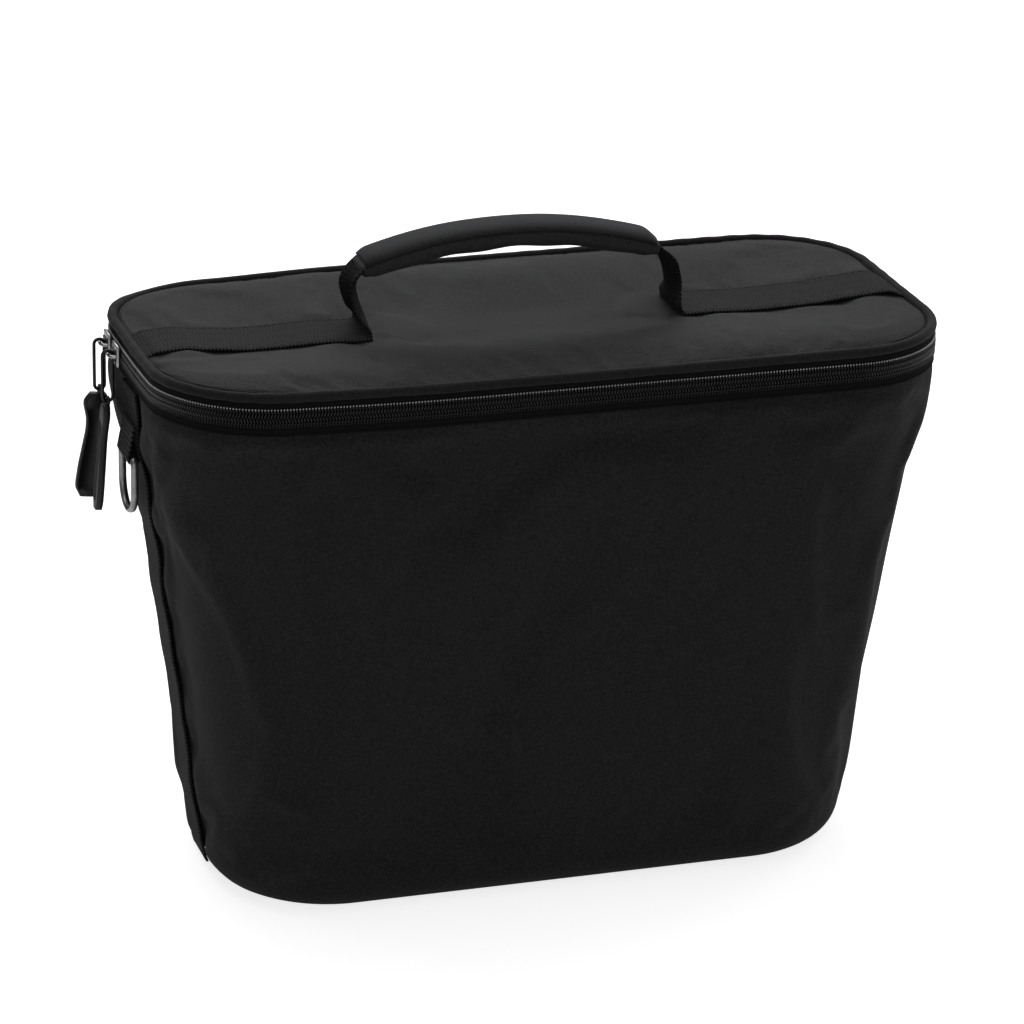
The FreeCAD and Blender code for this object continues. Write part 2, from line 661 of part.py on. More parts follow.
def build_pull_ring(word, along):
    """A long wire ring hung over the slider's bar."""
    bar = Vector(-val("rim_length") / 2 - val("bar_out"), number(along), number(ZIP_MIDDLE))
    ring = new_body(f"{word}_pull_ring", Placement(bar, Rotation()))
    sketch = new_sketch(ring, f"{word}_ring_side", plane="XZ_Plane")
    top = "wire + ring_play - ring_reach"
    bottom = "ring_reach - pull_drop"
    draw_slot(sketch, "out", "ring_reach + wire / 2", top, bottom)
    draw_slot(sketch, "in", "ring_reach - wire / 2", top, bottom)
    pad(ring, f"{word}_ring_pad", sketch, "wire", both_ways=True)


def draw_slot(sketch, tag, radius, top, bottom):
    """An upright slot; top and bottom are the heights of its arc centres."""
    reach, high, low = number(radius), number(top), number(bottom)
    first = sketch.GeometryCount
    up = Part.Circle(Vector(0, high), Vector(0, 0, 1), reach)
    down = Part.Circle(Vector(0, low), Vector(0, 0, 1), reach)
    sketch.addGeometry(Part.LineSegment(Vector(reach, low), Vector(reach, high)))
    sketch.addGeometry(Part.ArcOfCircle(up, 0, math.pi))
    sketch.addGeometry(Part.LineSegment(Vector(-reach, high), Vector(-reach, low)))
    sketch.addGeometry(Part.ArcOfCircle(down, math.pi, 2 * math.pi))
    joins = [(first, 2, first + 1, 1), (first + 1, 2, first + 2, 1), (first + 2, 2, first + 3, 1),
             (first + 3, 2, first, 1)]
    for join in joins:
        sketch.addConstraint(Sketcher.Constraint("Tangent", *join))
    sketch.addConstraint(Sketcher.Constraint("Vertical", first))
    sketch.addConstraint(Sketcher.Constraint("PointOnObject", first + 1, 3, -2))
    rows = [
        ("reach", Sketcher.Constraint("Radius", first + 1, reach), radius),
        ("top", Sketcher.Constraint("DistanceY", -1, 1, first + 1, 3, high), top),
        ("low", Sketcher.Constraint("DistanceY", -1, 1, first + 3, 3, low), bottom),
    ]
    for name, constraint, text in rows:
        bind(sketch, sketch.addConstraint(constraint), f"{name}_{tag}", text)


def build_pull_tab(word, along, lean, twisted):
    """A moulded tab, waisted near the top, hung from the pull ring by an eye."""
    bar_x = -val("rim_length") / 2 - val("bar_out")
    hang = Vector(bar_x, number(along), number(f"{ZIP_MIDDLE} - pull_drop"))
    tab = new_body(f"{word}_pull_tab", Placement(hang, Rotation(Vector(0, 1, 0), lean)))
    eye = new_sketch(tab, f"{word}_eye", plane="YZ_Plane")
    draw_circle(eye, "out", "0", "0", "eye_radius + eye_band")
    draw_circle(eye, "in", "0", "0", "eye_radius")
    pad(tab, f"{word}_eye_pad", eye, "wire", both_ways=True)
    outline = new_sketch(tab, f"{word}_outline", plane="XZ_Plane" if twisted else "YZ_Plane")
    if twisted:
        middle = "- tab_width / 4"
    else:
        middle = "0"
        outline.setExpression("AttachmentOffset.Base.z", expr("- tab_thick / 2"))
    right = [(f"{middle} + tab_width * {share}", f"- {drop}") for share, drop in TAB_PROFILE]
    left = [(f"{middle} - tab_width * {share}", f"- {drop}") for share, drop in reversed(TAB_PROFILE)]
    tip = [(f"{middle} + tab_width / 2", "2 - tab_length"), (middle, "- tab_length"),
           (f"{middle} - tab_width / 2", "2 - tab_length")]
    draw_outline(outline, "tab", right + tip + left)
    pad(tab, f"{word}_tab_pad", outline, "tab_thick", both_ways=True)


def build_pulls():
    build_slider("front", "front_slider")
    build_slider("rear", REAR_SLIDER)
    build_pull_ring("front", "front_slider")
    build_pull_ring("rear", REAR_SLIDER)
    build_pull_tab("front", "front_slider", 6.0, twisted=False)
    build_pull_tab("rear", REAR_SLIDER, 10.0, twisted=True)


# Checks and files ---------------------------------------------------------------


def check_and_write():
    doc.recompute()
    for item in doc.Objects:
        if "Invalid" in item.State or "Error" in item.State:
            raise RuntimeError(f"{item.Name}: {item.State}")
    os.makedirs("parts", exist_ok=True)
    for body in subparts:
        shape = body.Shape
        if shape.isNull() or not shape.isValid() or not shape.Solids:
            raise RuntimeError(f"{body.Label} has no sound solid")
        shape.exportStep(f"parts/{body.Label}.step")
        print(f"{body.Label}: {len(shape.Solids)} solid, {shape.Volume:.0f} mm3")


build_walls()
build_base()
build_rim()
build_zip()
build_lid()
build_handle()
build_end(-1, "left")
build_end(1, "right")
build_pulls()
check_and_write()
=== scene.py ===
import json
import math

import bmesh
import bpy
import numpy as np
from mathutils import Matrix, Vector
from mathutils.bvhtree import BVHTree

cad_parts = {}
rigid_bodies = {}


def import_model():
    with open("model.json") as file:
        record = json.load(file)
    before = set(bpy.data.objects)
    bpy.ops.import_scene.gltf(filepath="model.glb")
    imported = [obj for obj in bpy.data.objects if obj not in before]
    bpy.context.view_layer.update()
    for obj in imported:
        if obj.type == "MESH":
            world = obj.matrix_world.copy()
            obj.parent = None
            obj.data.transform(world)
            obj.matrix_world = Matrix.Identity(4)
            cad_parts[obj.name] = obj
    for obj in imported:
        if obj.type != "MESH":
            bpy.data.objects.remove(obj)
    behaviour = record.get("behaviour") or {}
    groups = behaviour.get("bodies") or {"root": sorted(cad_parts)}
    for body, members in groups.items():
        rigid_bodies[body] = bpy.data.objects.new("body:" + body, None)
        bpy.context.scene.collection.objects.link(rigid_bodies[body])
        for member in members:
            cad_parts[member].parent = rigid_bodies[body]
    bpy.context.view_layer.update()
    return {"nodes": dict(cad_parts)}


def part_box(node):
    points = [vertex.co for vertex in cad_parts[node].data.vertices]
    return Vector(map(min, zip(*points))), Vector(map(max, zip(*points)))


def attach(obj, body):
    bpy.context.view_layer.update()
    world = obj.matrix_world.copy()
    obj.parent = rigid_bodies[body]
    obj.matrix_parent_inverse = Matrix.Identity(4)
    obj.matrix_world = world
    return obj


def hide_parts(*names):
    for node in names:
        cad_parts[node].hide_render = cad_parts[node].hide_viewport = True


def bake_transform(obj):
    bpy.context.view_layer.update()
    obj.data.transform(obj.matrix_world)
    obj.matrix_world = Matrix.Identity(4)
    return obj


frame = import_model()

MM = 0.001

# Sizes read from the frame ---

piping_low, piping_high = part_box("lid_piping")
_, hinge_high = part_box("hinge_tape")
_, wall_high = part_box("front_panel")
_, tray_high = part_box("base_panel")
strap_low, strap_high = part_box("lid_strap_right")
coil_low, coil_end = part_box("zip_teeth_lower")
_, coil_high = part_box("zip_teeth_upper")
grip_low, grip_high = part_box("handle_grip")
_, cover_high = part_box("lid_cover")

RIM_X = piping_high.x
RIM_Y = piping_high.y
RIM_R = RIM_X - hinge_high.x
SEAM_Z = wall_high.z
BASE_EDGE = tray_high.z
PIPE_R = (piping_high.z - piping_low.z) / 2
PIPE_Z = (piping_high.z + piping_low.z) / 2
BASE_R = 58 * MM
SLOPE_X = (RIM_X - tray_high.x) / (SEAM_Z - BASE_EDGE)
SLOPE_Y = (RIM_Y - tray_high.y) / (SEAM_Z - BASE_EDGE)
BASE_X = RIM_X - SLOPE_X * SEAM_Z
BASE_Y = RIM_Y - SLOPE_Y * SEAM_Z
COIL_MID = (coil_low.z + coil_high.z) / 2
ZIP_END_Y = coil_end.y
STRAP_HALF = strap_high.y
ROOT_X = strap_low.x
STRAP_END_X = strap_high.x
LID_Z = cover_high.z

# Sizes of the soft work, which the frame doesn't hold ---

SHELL_COLUMNS = 320
TRAY_ROWS = 7
LID_GROOVE = 4.6 * MM
LID_EDGE = 4.2 * MM
LINING_INSET = 7.4 * MM
HINGE_TUCK = 14 * MM
TAPE_TAIL = 26 * MM
COIL_PITCH = 1.45 * MM
WEBBING_THICK = 1.5 * MM
RIGHT_ROOT_SHIFT = 4.5 * MM
GRIP_SHIFT = 3.5 * MM
GRIP_LOWER = 1.6 * MM
GRIP_THICK = 13 * MM
GRIP_HALF_WIDTH = 11.4 * MM
GRIP_HALF_THICK = 5.7 * MM
D_RING_INSET = 1.1 * MM
FRONT_TAB_SHARE = 0.74

# Paths round the bag ---


def rim_lengths():
    """Lengths of the nine pieces of the rim, clockwise from the middle of the back."""
    half = RIM_X - RIM_R
    end = 2 * (RIM_Y - RIM_R)
    arc = RIM_R * math.pi / 2
    return np.array([half, arc, end, arc, 2 * half, arc, end, arc, half])


PIECE_ENDS = np.cumsum(rim_lengths())
RIM_LENGTH = PIECE_ENDS[-1]
LEFT_END_MID = PIECE_ENDS[5] + (PIECE_ENDS[6] - PIECE_ENDS[5]) / 2
RIGHT_END_MID = PIECE_ENDS[1] + (PIECE_ENDS[2] - PIECE_ENDS[1]) / 2


def loop_point(distance, half_x=RIM_X, half_y=RIM_Y, corner=RIM_R):
    """Point and outward normal of a rounded rectangle at a distance measured along the rim."""
    d = np.mod(np.asarray(distance, float), RIM_LENGTH)
    piece = np.searchsorted(PIECE_ENDS, d, side="right").clip(0, 8)
    starts = np.concatenate([[0], PIECE_ENDS[:-1]])
    share = (d - starts[piece]) / rim_lengths()[piece]
    flat_x, flat_y = half_x - corner, half_y - corner
    one, zero = np.ones_like(d), np.zeros_like(d)
    angles = {1: math.pi / 2 * (1 - share), 3: -math.pi / 2 * share,
              5: -math.pi / 2 * (1 + share), 7: math.pi - math.pi / 2 * share}
    centres = {1: (1, 1), 3: (1, -1), 5: (-1, -1), 7: (-1, 1)}
    x, y, nx, ny = zero.copy(), zero.copy(), zero.copy(), zero.copy()
    straight = {0: (share * flat_x, half_y * one, 0, 1),
                2: (half_x * one, flat_y * (1 - 2 * share), 1, 0),
                4: (flat_x * (1 - 2 * share), -half_y * one, 0, -1),
                6: (-half_x * one, flat_y * (2 * share - 1), -1, 0),
                8: (-flat_x * (1 - share), half_y * one, 0, 1)}
    for index, (px, py, ax, ay) in straight.items():
        here = piece == index
        x = np.where(here, px, x)
        y = np.where(here, py, y)
        nx = np.where(here, ax, nx)
        ny = np.where(here, ay, ny)
    for index, angle in angles.items():
        here = piece == index
        sx, sy = centres[index]
        x = np.where(here, sx * flat_x + corner * np.cos(angle), x)
        y = np.where(here, sy * flat_y + corner * np.sin(angle), y)
        nx = np.where(here, np.cos(angle), nx)
        ny = np.where(here, np.sin(angle), ny)
    return x, y, nx, ny


def wall_size(z):
    share = z / SEAM_Z
    return BASE_X + SLOPE_X * z, BASE_Y + SLOPE_Y * z, BASE_R + (RIM_R - BASE_R) * share


def zip_distance():
    """Distances along the rim where the zip starts (right rear) and ends (left rear)."""
    angle = math.asin((ZIP_END_Y - (RIM_Y - RIM_R)) / RIM_R)
    start = PIECE_ENDS[0] + (math.pi / 2 - angle) * RIM_R
    return start, RIM_LENGTH - start


# Mesh helpers ---


def add_object(name, data):
    obj = bpy.data.objects.new(name, data)
    bpy.context.scene.collection.objects.link(obj)
    return obj


def grid_mesh(name, points, uv=None, closed_u=False, closed_v=False, smooth=True):
    """A mesh from rows and columns of points, with UVs in metres."""
    rows, cols = points.shape[:2]
    row_count = rows if closed_v else rows - 1
    col_count = cols if closed_u else cols - 1
    r, c = np.meshgrid(np.arange(row_count), np.arange(col_count), indexing="ij")
    r2, c2 = (r + 1) % rows, (c + 1) % cols
    faces = np.stack([r * cols + c, r * cols + c2, r2 * cols + c2, r2 * cols + c], -1).reshape(-1, 4)
    mesh = bpy.data.meshes.new(name)
    mesh.from_pydata(points.reshape(-1, 3).tolist(), [], faces.tolist())
    if uv is None:
        uv = measure_uv(points)
    corner_rows = np.stack([r, r, r + 1, r + 1], -1).reshape(-1)
    corner_cols = np.stack([c, c + 1, c + 1, c], -1).reshape(-1)
    step_u = uv[:, -1:, :] + (uv[:, 1:2, :] - uv[:, 0:1, :])
    padded = np.concatenate([uv, step_u], 1)
    padded = np.concatenate([padded, padded[-1:] + (padded[1:2] - padded[0:1])], 0)
    layer = mesh.uv_layers.new(name="UVMap")
    layer.data.foreach_set("uv", padded[corner_rows, corner_cols].astype(np.float32).ravel())
    mesh.polygons.foreach_set("use_smooth", [smooth] * len(mesh.polygons))
    mesh.validate()
    mesh.update()
    return add_object(name, mesh)


def measure_uv(points):
    """Real lengths along the columns and rows, so that patterns keep their scale."""
    across = np.linalg.norm(np.diff(points, axis=1), axis=2).mean(0)
    along = np.linalg.norm(np.diff(points, axis=0), axis=2).mean(1)
    u = np.concatenate([[0], np.cumsum(across)])
    v = np.concatenate([[0], np.cumsum(along)])
    return np.stack(np.meshgrid(u, v), -1)


def add_subdivision(obj, levels=1):
    modifier = obj.modifiers.new("subdivision", "SUBSURF")
    modifier.levels = levels
    modifier.render_levels = levels


def add_thickness(obj, amount, offset=-1.0):
    modifier = obj.modifiers.new("thickness", "SOLIDIFY")
    modifier.thickness = amount
    modifier.offset = offset


def rim_sweep(section, start, end, count, closed=False, wobble=None):
    """Carries a section of (outward, height) points along the rim."""
    d = np.linspace(start, end, count, endpoint=not closed)
    x, y, nx, ny = loop_point(d)
    section = np.asarray(section)
    out = np.repeat(section[None, :, 0], len(d), 0)
    up = np.repeat(section[None, :, 1], len(d), 0)
    if wobble is not None:
        out, up = wobble(d[:, None], out, up)
    return np.stack([x[:, None] + nx[:, None] * out, y[:, None] + ny[:, None] * out, up], -1)


def circle_section(radius, centre, count=14):
    angle = np.linspace(0, 2 * math.pi, count, endpoint=False)
    return np.stack([centre[0] + radius * np.cos(angle), centre[1] + radius * np.sin(angle)], -1)


def tube(name, path, radius, closed=False, sides=10):
    """A round section carried along a path of points."""
    path = np.asarray(path, float)
    count = len(path)
    if closed:
        ahead, behind = np.roll(path, -1, 0), np.roll(path, 1, 0)
    else:
        ahead = np.concatenate([path[1:], path[-1:]])
        behind = np.concatenate([path[:1], path[:-1]])
    tangent = ahead - behind
    tangent /= np.linalg.norm(tangent, axis=1)[:, None]
    helper = np.array([0.0, 0.0, 1.0]) if abs(tangent[:, 2]).mean() < 0.8 else np.array([1.0, 0.0, 0.0])
    if abs(np.cross(tangent, helper)).sum(1).min() < 0.05:
        helper = np.array([0.03, 1.0, 0.02])
    side = np.cross(tangent, helper)
    side /= np.linalg.norm(side, axis=1)[:, None]
    other = np.cross(tangent, side)
    angle = np.linspace(0, 2 * math.pi, sides, endpoint=False)
    ring = (np.cos(angle)[None, :, None] * side[:, None, :]
            + np.sin(angle)[None, :, None] * other[:, None, :])
    radii = np.broadcast_to(np.asarray(radius, float).reshape(-1, 1, 1), (count, 1, 1))
    points = path[:, None, :] + ring * radii
    return grid_mesh(name, points, closed_u=True, closed_v=closed)


def bead_template(length, width, depth, rings=5, sides=6):
    """A capsule-like bead along X, used for stitches and zip coils."""
    angle = np.linspace(0, 2 * math.pi, sides, endpoint=False)
    along = -np.cos(np.linspace(0.12, math.pi - 0.12, rings))
    size = np.sqrt(1 - along ** 4)
    points = np.stack([np.repeat(along[:, None] * length / 2, sides, 1),
                       size[:, None] * np.cos(angle)[None] * width / 2,
                       size[:, None] * np.sin(angle)[None] * depth / 2], -1).reshape(-1, 3)
    faces = []
    for ring in range(rings - 1):
        for side in range(sides):
            a = ring * sides + side
            b = ring * sides + (side + 1) % sides
            faces.append((a, b, b + sides, a + sides))
    faces.append(tuple(range(sides))[::-1])
    faces.append(tuple(range((rings - 1) * sides, rings * sides)))
    return points, faces


def scatter(name, template, places, forward, upward):
    """One mesh holding a copy of the template at each place, X along forward and Z along upward."""
    base, faces = template
    places, forward, upward = (np.asarray(a, float) for a in (places, forward, upward))
    forward = forward / np.linalg.norm(forward, axis=1)[:, None]
    side = np.cross(upward, forward)
    side /= np.linalg.norm(side, axis=1)[:, None]
    upward = np.cross(forward, side)
    turned = (base[None, :, 0:1] * forward[:, None, :] + base[None, :, 1:2] * side[:, None, :]
              + base[None, :, 2:3] * upward[:, None, :] + places[:, None, :])
    count = len(base)
    all_faces = [tuple(i + count * k for i in face) for k in range(len(places)) for face in faces]
    mesh = bpy.data.meshes.new(name)
    mesh.from_pydata(turned.reshape(-1, 3).tolist(), [], all_faces)
    mesh.polygons.foreach_set("use_smooth", [True] * len(mesh.polygons))
    mesh.update()
    return add_object(name, mesh)


def resample(path, pitch):
    """Points and directions every pitch along a polyline."""
    path = np.asarray(path, float)
    steps = np.linalg.norm(np.diff(path, axis=0), axis=1)
    total = np.concatenate([[0], np.cumsum(steps)])
    count = max(2, int(total[-1] / pitch))
    at = (np.arange(count) + 0.5) * total[-1] / count
    points = np.stack([np.interp(at, total, path[:, k]) for k in range(3)], -1)
    nearby = np.stack([np.interp(at + pitch * 0.2, total, path[:, k]) for k in range(3)], -1)
    before = np.stack([np.interp(at - pitch * 0.2, total, path[:, k]) for k in range(3)], -1)
    return points, nearby - before


def stitches(name, path, normal, body, slot, pitch=3.2 * MM, thread=0.55 * MM):
    """Lockstitch: short threads lying along the path, sunk by half their thickness."""
    points, direction = resample(path, pitch)
    normal = np.asarray(normal, float)
    if normal.ndim == 1:
        up = np.repeat(normal[None], len(points), 0)
    else:
        source = np.linspace(0, 1, len(normal))
        target = np.linspace(0, 1, len(points))
        up = np.stack([np.interp(target, source, normal[:, k]) for k in range(3)], -1)
    obj = scatter(name, bead_template(pitch * 0.78, thread, thread * 0.8), points, direction, up)
    assign(obj, "thread", body, slot)


def smooth_noise(*coords, seed=0, octaves=2):
    """Cheap smooth noise from a few sines; inputs are in noise cells."""
    total = np.zeros(np.broadcast(*coords).shape)
    generator = np.random.default_rng(seed)
    for octave in range(octaves):
        for _ in range(4):
            turn = generator.normal(size=len(coords))
            turn *= (2 ** octave) * 2.2 / np.linalg.norm(turn)
            phase = generator.uniform(0, 2 * math.pi)
            total = total + np.sin(sum(t * c for t, c in zip(turn, coords)) + phase) / (2 ** octave)
    return total / 4


def smoothstep(low, high, value):
    t = np.clip((value - low) / (high - low), 0, 1)
    return t * t * (3 - 2 * t)


def bump_at(value, centre, width):
    return np.exp(-((value - centre) / width) ** 2)


# Materials ---

MATERIALS = {}


def node(tree, kind, **settings):
    made = tree.nodes.new(kind)
    for key, value in settings.items():
        if key in made.inputs:
            made.inputs[key].default_value = value
        else:
            setattr(made, key, value)
    return made


def start_material(name, colour, roughness, metallic=0.0):
    material = bpy.data.materials.new(name)
    material.use_nodes = True
    tree = material.node_tree
    shader = tree.nodes["Principled BSDF"]
    shader.inputs["Base Color"].default_value = (*colour, 1)
    shader.inputs["Roughness"].default_value = roughness
    shader.inputs["Metallic"].default_value = metallic
    MATERIALS[name] = material
    return tree, shader


def math_node(tree, operation, a, b=None, c=None):
    made = tree.nodes.new("ShaderNodeMath")
    made.operation = operation
    for index, value in enumerate((a, b, c)):
        if value is None:
            continue
        if isinstance(value, (int, float)):
            made.inputs[index].default_value = value
        else:
            tree.links.new(value, made.inputs[index])
    return made.outputs[0]


def tint(tree, shader, colour, factor, dark=0.7, light=1.35):
    """Base colour between a darker and a lighter version of itself."""
    mix = tree.nodes.new("ShaderNodeMix")
    mix.data_type = "RGBA"
    mix.inputs[6].default_value = (*[c * dark for c in colour], 1)
    mix.inputs[7].default_value = (*[min(1, c * light) for c in colour], 1)
    tree.links.new(factor, mix.inputs[0])
    tree.links.new(mix.outputs[2], shader.inputs["Base Color"])


def uv_parts(tree):
    coordinates = tree.nodes.new("ShaderNodeTexCoord")
    split = tree.nodes.new("ShaderNodeSeparateXYZ")
    tree.links.new(coordinates.outputs["UV"], split.inputs[0])
    return split.outputs[0], split.outputs[1], coordinates


def noise_value(tree, coordinates, cell, detail=2.0, output="Object"):
    texture = node(tree, "ShaderNodeTexNoise", Scale=1 / cell, Detail=detail)
    tree.links.new(coordinates.outputs[output], texture.inputs["Vector"])
    return texture.outputs["Fac"]


def sine(tree, value, pitch, phase=None):
    angle = math_node(tree, "MULTIPLY", value, 2 * math.pi / pitch)
    if phase is not None:
        angle = math_node(tree, "ADD", angle, phase)
    return math_node(tree, "SINE", angle)


def add_bump(tree, shader, height, strength, distance):
    bump = node(tree, "ShaderNodeBump", Strength=strength, Distance=distance)
    tree.links.new(height, bump.inputs["Height"])
    tree.links.new(bump.outputs[0], shader.inputs["Normal"])


def fabric(name, colour, roughness=0.8, sheen=0.05, weave=0.9 * MM,
           depth=0.2 * MM, mottle=0.6, speckle=3.2):
    """Plain-weave nylon: over-and-under threads, fine grain and slow changes of tone."""
    tree, shader = start_material(name, colour, roughness)
    shader.inputs["Sheen Weight"].default_value = sheen
    shader.inputs["Sheen Roughness"].default_value = 0.4
    shader.inputs["Sheen Tint"].default_value = (0.86, 0.9, 1.0, 1)
    shader.inputs["Specular IOR Level"].default_value = 0.3
    u, v, coordinates = uv_parts(tree)
    threads = math_node(tree, "MULTIPLY", sine(tree, u, weave), sine(tree, v, weave))
    grain = noise_value(tree, coordinates, 1.1 * MM, 3.0)
    slow = noise_value(tree, coordinates, 45 * MM, 3.0)
    height = math_node(tree, "MULTIPLY_ADD", threads, 0.5, math_node(tree, "MULTIPLY", grain, 1.6))
    tone = math_node(tree, "MULTIPLY_ADD", math_node(tree, "SUBTRACT", grain, 0.5), speckle, 0.42)
    tone = math_node(tree, "MULTIPLY_ADD", math_node(tree, "SUBTRACT", slow, 0.5), mottle, tone)
    tone = math_node(tree, "MULTIPLY_ADD", threads, 0.12, tone)
    tint(tree, shader, colour, tone, 0.4, 1.9)
    rough = math_node(tree, "MULTIPLY_ADD", slow, 0.16, roughness - 0.08)
    tree.links.new(rough, shader.inputs["Roughness"])
    add_bump(tree, shader, height, 0.7, depth)


def webbing(name, colour, pitch=1.75 * MM, lean=0.8, depth=0.5 * MM, contrast=5.0, sheen=0.04):
    """Woven strap: slanted yarns that turn over along the strap, crossed by the weft."""
    tree, shader = start_material(name, colour, 0.7)
    shader.inputs["Sheen Weight"].default_value = sheen
    shader.inputs["Sheen Tint"].default_value = (0.9, 0.93, 1.0, 1)
    shader.inputs["Specular IOR Level"].default_value = 0.2
    u, v, coordinates = uv_parts(tree)
    zigzag = math_node(tree, "PINGPONG", v, 4.2 * MM)
    slant = math_node(tree, "MULTIPLY_ADD", zigzag, lean, u)
    yarn = sine(tree, slant, pitch)
    weft = sine(tree, v, pitch * 1.25)
    crossing = math_node(tree, "MULTIPLY", yarn, weft)
    height = math_node(tree, "MULTIPLY_ADD", yarn, 0.5, math_node(tree, "MULTIPLY", crossing, 0.6))
    grain = noise_value(tree, coordinates, 0.8 * MM, 2.0)
    height = math_node(tree, "MULTIPLY_ADD", grain, 0.6, height)
    tone = math_node(tree, "MULTIPLY_ADD", height, 0.85, 0.02)
    tint(tree, shader, colour, tone, 0.06, contrast)
    add_bump(tree, shader, height, 1.0, depth)


def twill(name, colour, pitch=1.6 * MM):
    """Zip tape: fine slanted ribs."""
    tree, shader = start_material(name, colour, 0.85)
    shader.inputs["Specular IOR Level"].default_value = 0.12
    u, v, coordinates = uv_parts(tree)
    slant = math_node(tree, "ADD", u, math_node(tree, "MULTIPLY", v, 1.2))
    rib = sine(tree, slant, pitch)
    grain = noise_value(tree, coordinates, 0.6 * MM, 1.0)
    height = math_node(tree, "MULTIPLY_ADD", grain, 0.6, rib)
    tint(tree, shader, colour, math_node(tree, "MULTIPLY_ADD", height, 0.6, 0.3), 0.25, 2.6)
    add_bump(tree, shader, height, 0.8, 0.25 * MM)


def metal(name, colour, roughness, wear=0.5):
    """Plated metal with fine scratches and dull patches."""
    tree, shader = start_material(name, colour, roughness, 1.0)
    coordinates = tree.nodes.new("ShaderNodeTexCoord")
    patch = noise_value(tree, coordinates, 3 * MM, 3.0)
    scratch = noise_value(tree, coordinates, 0.35 * MM, 4.0)
    tint(tree, shader, colour, patch, 0.6, 1.3)
    rough = math_node(tree, "MULTIPLY_ADD", patch, wear * 0.5, roughness - wear * 0.2)
    tree.links.new(rough, shader.inputs["Roughness"])
    add_bump(tree, shader, scratch, 0.25, 0.05 * MM)


def plastic(name, colour, roughness, grain_cell=0.5 * MM, grain_depth=0.04 * MM, coat=0.0):
    """Moulded plastic with a fine etched surface and handling marks."""
    tree, shader = start_material(name, colour, roughness)
    shader.inputs["Coat Weight"].default_value = coat
    coordinates = tree.nodes.new("ShaderNodeTexCoord")
    grain = noise_value(tree, coordinates, grain_cell, 2.0)
    slow = noise_value(tree, coordinates, 8 * MM, 2.0)
    tint(tree, shader, colour, slow, 0.8, 1.25)
    rough = math_node(tree, "MULTIPLY_ADD", slow, 0.2, roughness - 0.1)
    tree.links.new(rough, shader.inputs["Roughness"])
    add_bump(tree, shader, grain, 0.4, grain_depth)


def dress(obj, material):
    obj.data.materials.clear()
    obj.data.materials.append(MATERIALS[material])


def assign(obj, material, body, slot, *stands_for):
    """Material and moving body of a piece, and the CAD nodes that it stands in for; the slot argument is not
    used.
    """
    dress(obj, material)
    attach(obj, body)
    if stands_for:
        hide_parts(*stands_for)


fabric("shell", (0.0100, 0.0100, 0.0105), sheen=0.03)
fabric("lid", (0.0092, 0.0094, 0.0103), roughness=0.66, sheen=0.07, speckle=5.0)
fabric("piping", (0.0060, 0.0061, 0.0066), roughness=0.74)
# The grip's roll is painted about three times lighter than the flap, which is the same fabric folded over its
# top: painted light on the roll's front, which bulges out towards the lamps.
fabric("grip", (0.0350, 0.0353, 0.0370), roughness=0.7, sheen=0.08, speckle=1.0)
fabric("flap", (0.0120, 0.0122, 0.0132), roughness=0.72, sheen=0.12, speckle=2.0)
fabric("lining", (0.030, 0.031, 0.034), roughness=0.85, weave=1.4 * MM)
webbing("strap", (0.0085, 0.0086, 0.0092))
# The end webbing is painted about half as light as the lid webbing: painted shade, as the end straps face
# away from the lamps.
webbing("canvas", (0.0045, 0.0045, 0.0048), pitch=2.0 * MM, lean=0.0, sheen=0.0)
webbing("ribbed", (0.0060, 0.0060, 0.0066), pitch=2.4 * MM, lean=0.0)
twill("tape", (0.0048, 0.0048, 0.0051))
plastic("coil", (0.020, 0.020, 0.021), 0.32, coat=0.25)
# Near-white loops along the upper coil's top edge: painted highlight for the glints there.
plastic("coil_edge", (0.62, 0.62, 0.63), 0.28, coat=0.5)
plastic("thread", (0.006, 0.006, 0.0065), 0.6)
plastic("tab", (0.0105, 0.0105, 0.0110), 0.40)
plastic("tab_dark", (0.006, 0.006, 0.0065), 0.5)
metal("nickel", (0.50, 0.50, 0.51), 0.24)
metal("gunmetal", (0.045, 0.045, 0.047), 0.28)
metal("satin", (0.42, 0.42, 0.43), 0.34)


# Soft shell ---


def puff(obj, pinned, pressure, frames, cap, shrink=0.0, stiffness=15.0, bending=2.0):
    """Runs a short cloth simulation on a copy and returns the moved points, capped."""
    count = len(obj.data.vertices)
    start = np.zeros(count * 3, np.float32)
    obj.data.vertices.foreach_get("co", start)
    start = start.reshape(-1, 3).astype(float)
    group = obj.vertex_groups.new(name="pin")
    for index in range(count):
        group.add([index], float(pinned[index]), "REPLACE")
    cloth = obj.modifiers.new("cloth", "CLOTH")
    settings = cloth.settings
    settings.quality = 6
    settings.mass = 0.25
    settings.tension_stiffness = stiffness
    settings.compression_stiffness = stiffness
    settings.shear_stiffness = stiffness
    settings.bending_stiffness = bending
    settings.use_pressure = pressure != 0
    settings.uniform_pressure_force = pressure
    settings.shrink_min = shrink
    settings.vertex_group_mass = "pin"
    settings.effector_weights.gravity = 0
    cloth.collision_settings.use_collision = False
    scene = bpy.context.scene
    scene.frame_start, scene.frame_end = 1, frames
    cloth.point_cache.frame_start, cloth.point_cache.frame_end = 1, frames
    for number in range(1, frames + 1):
        scene.frame_set(number)
    graph = bpy.context.evaluated_depsgraph_get()
    result = obj.evaluated_get(graph).to_mesh()
    moved = np.zeros(count * 3, np.float32)
    result.vertices.foreach_get("co", moved)
    moved = moved.reshape(-1, 3).astype(float)
    obj.modifiers.remove(cloth)
    scene.frame_set(1)
    travel = moved - start
    length = np.linalg.norm(travel, axis=1)
    scale = cap * np.tanh(length / cap) / np.maximum(length, 1e-9)
    return start + travel * scale[:, None]


def side_gap(x, y):
    """Distance along the wall from the middle of the nearer end."""
    return np.where(np.abs(x) > BASE_X * 0.9, np.abs(y), 1.0)


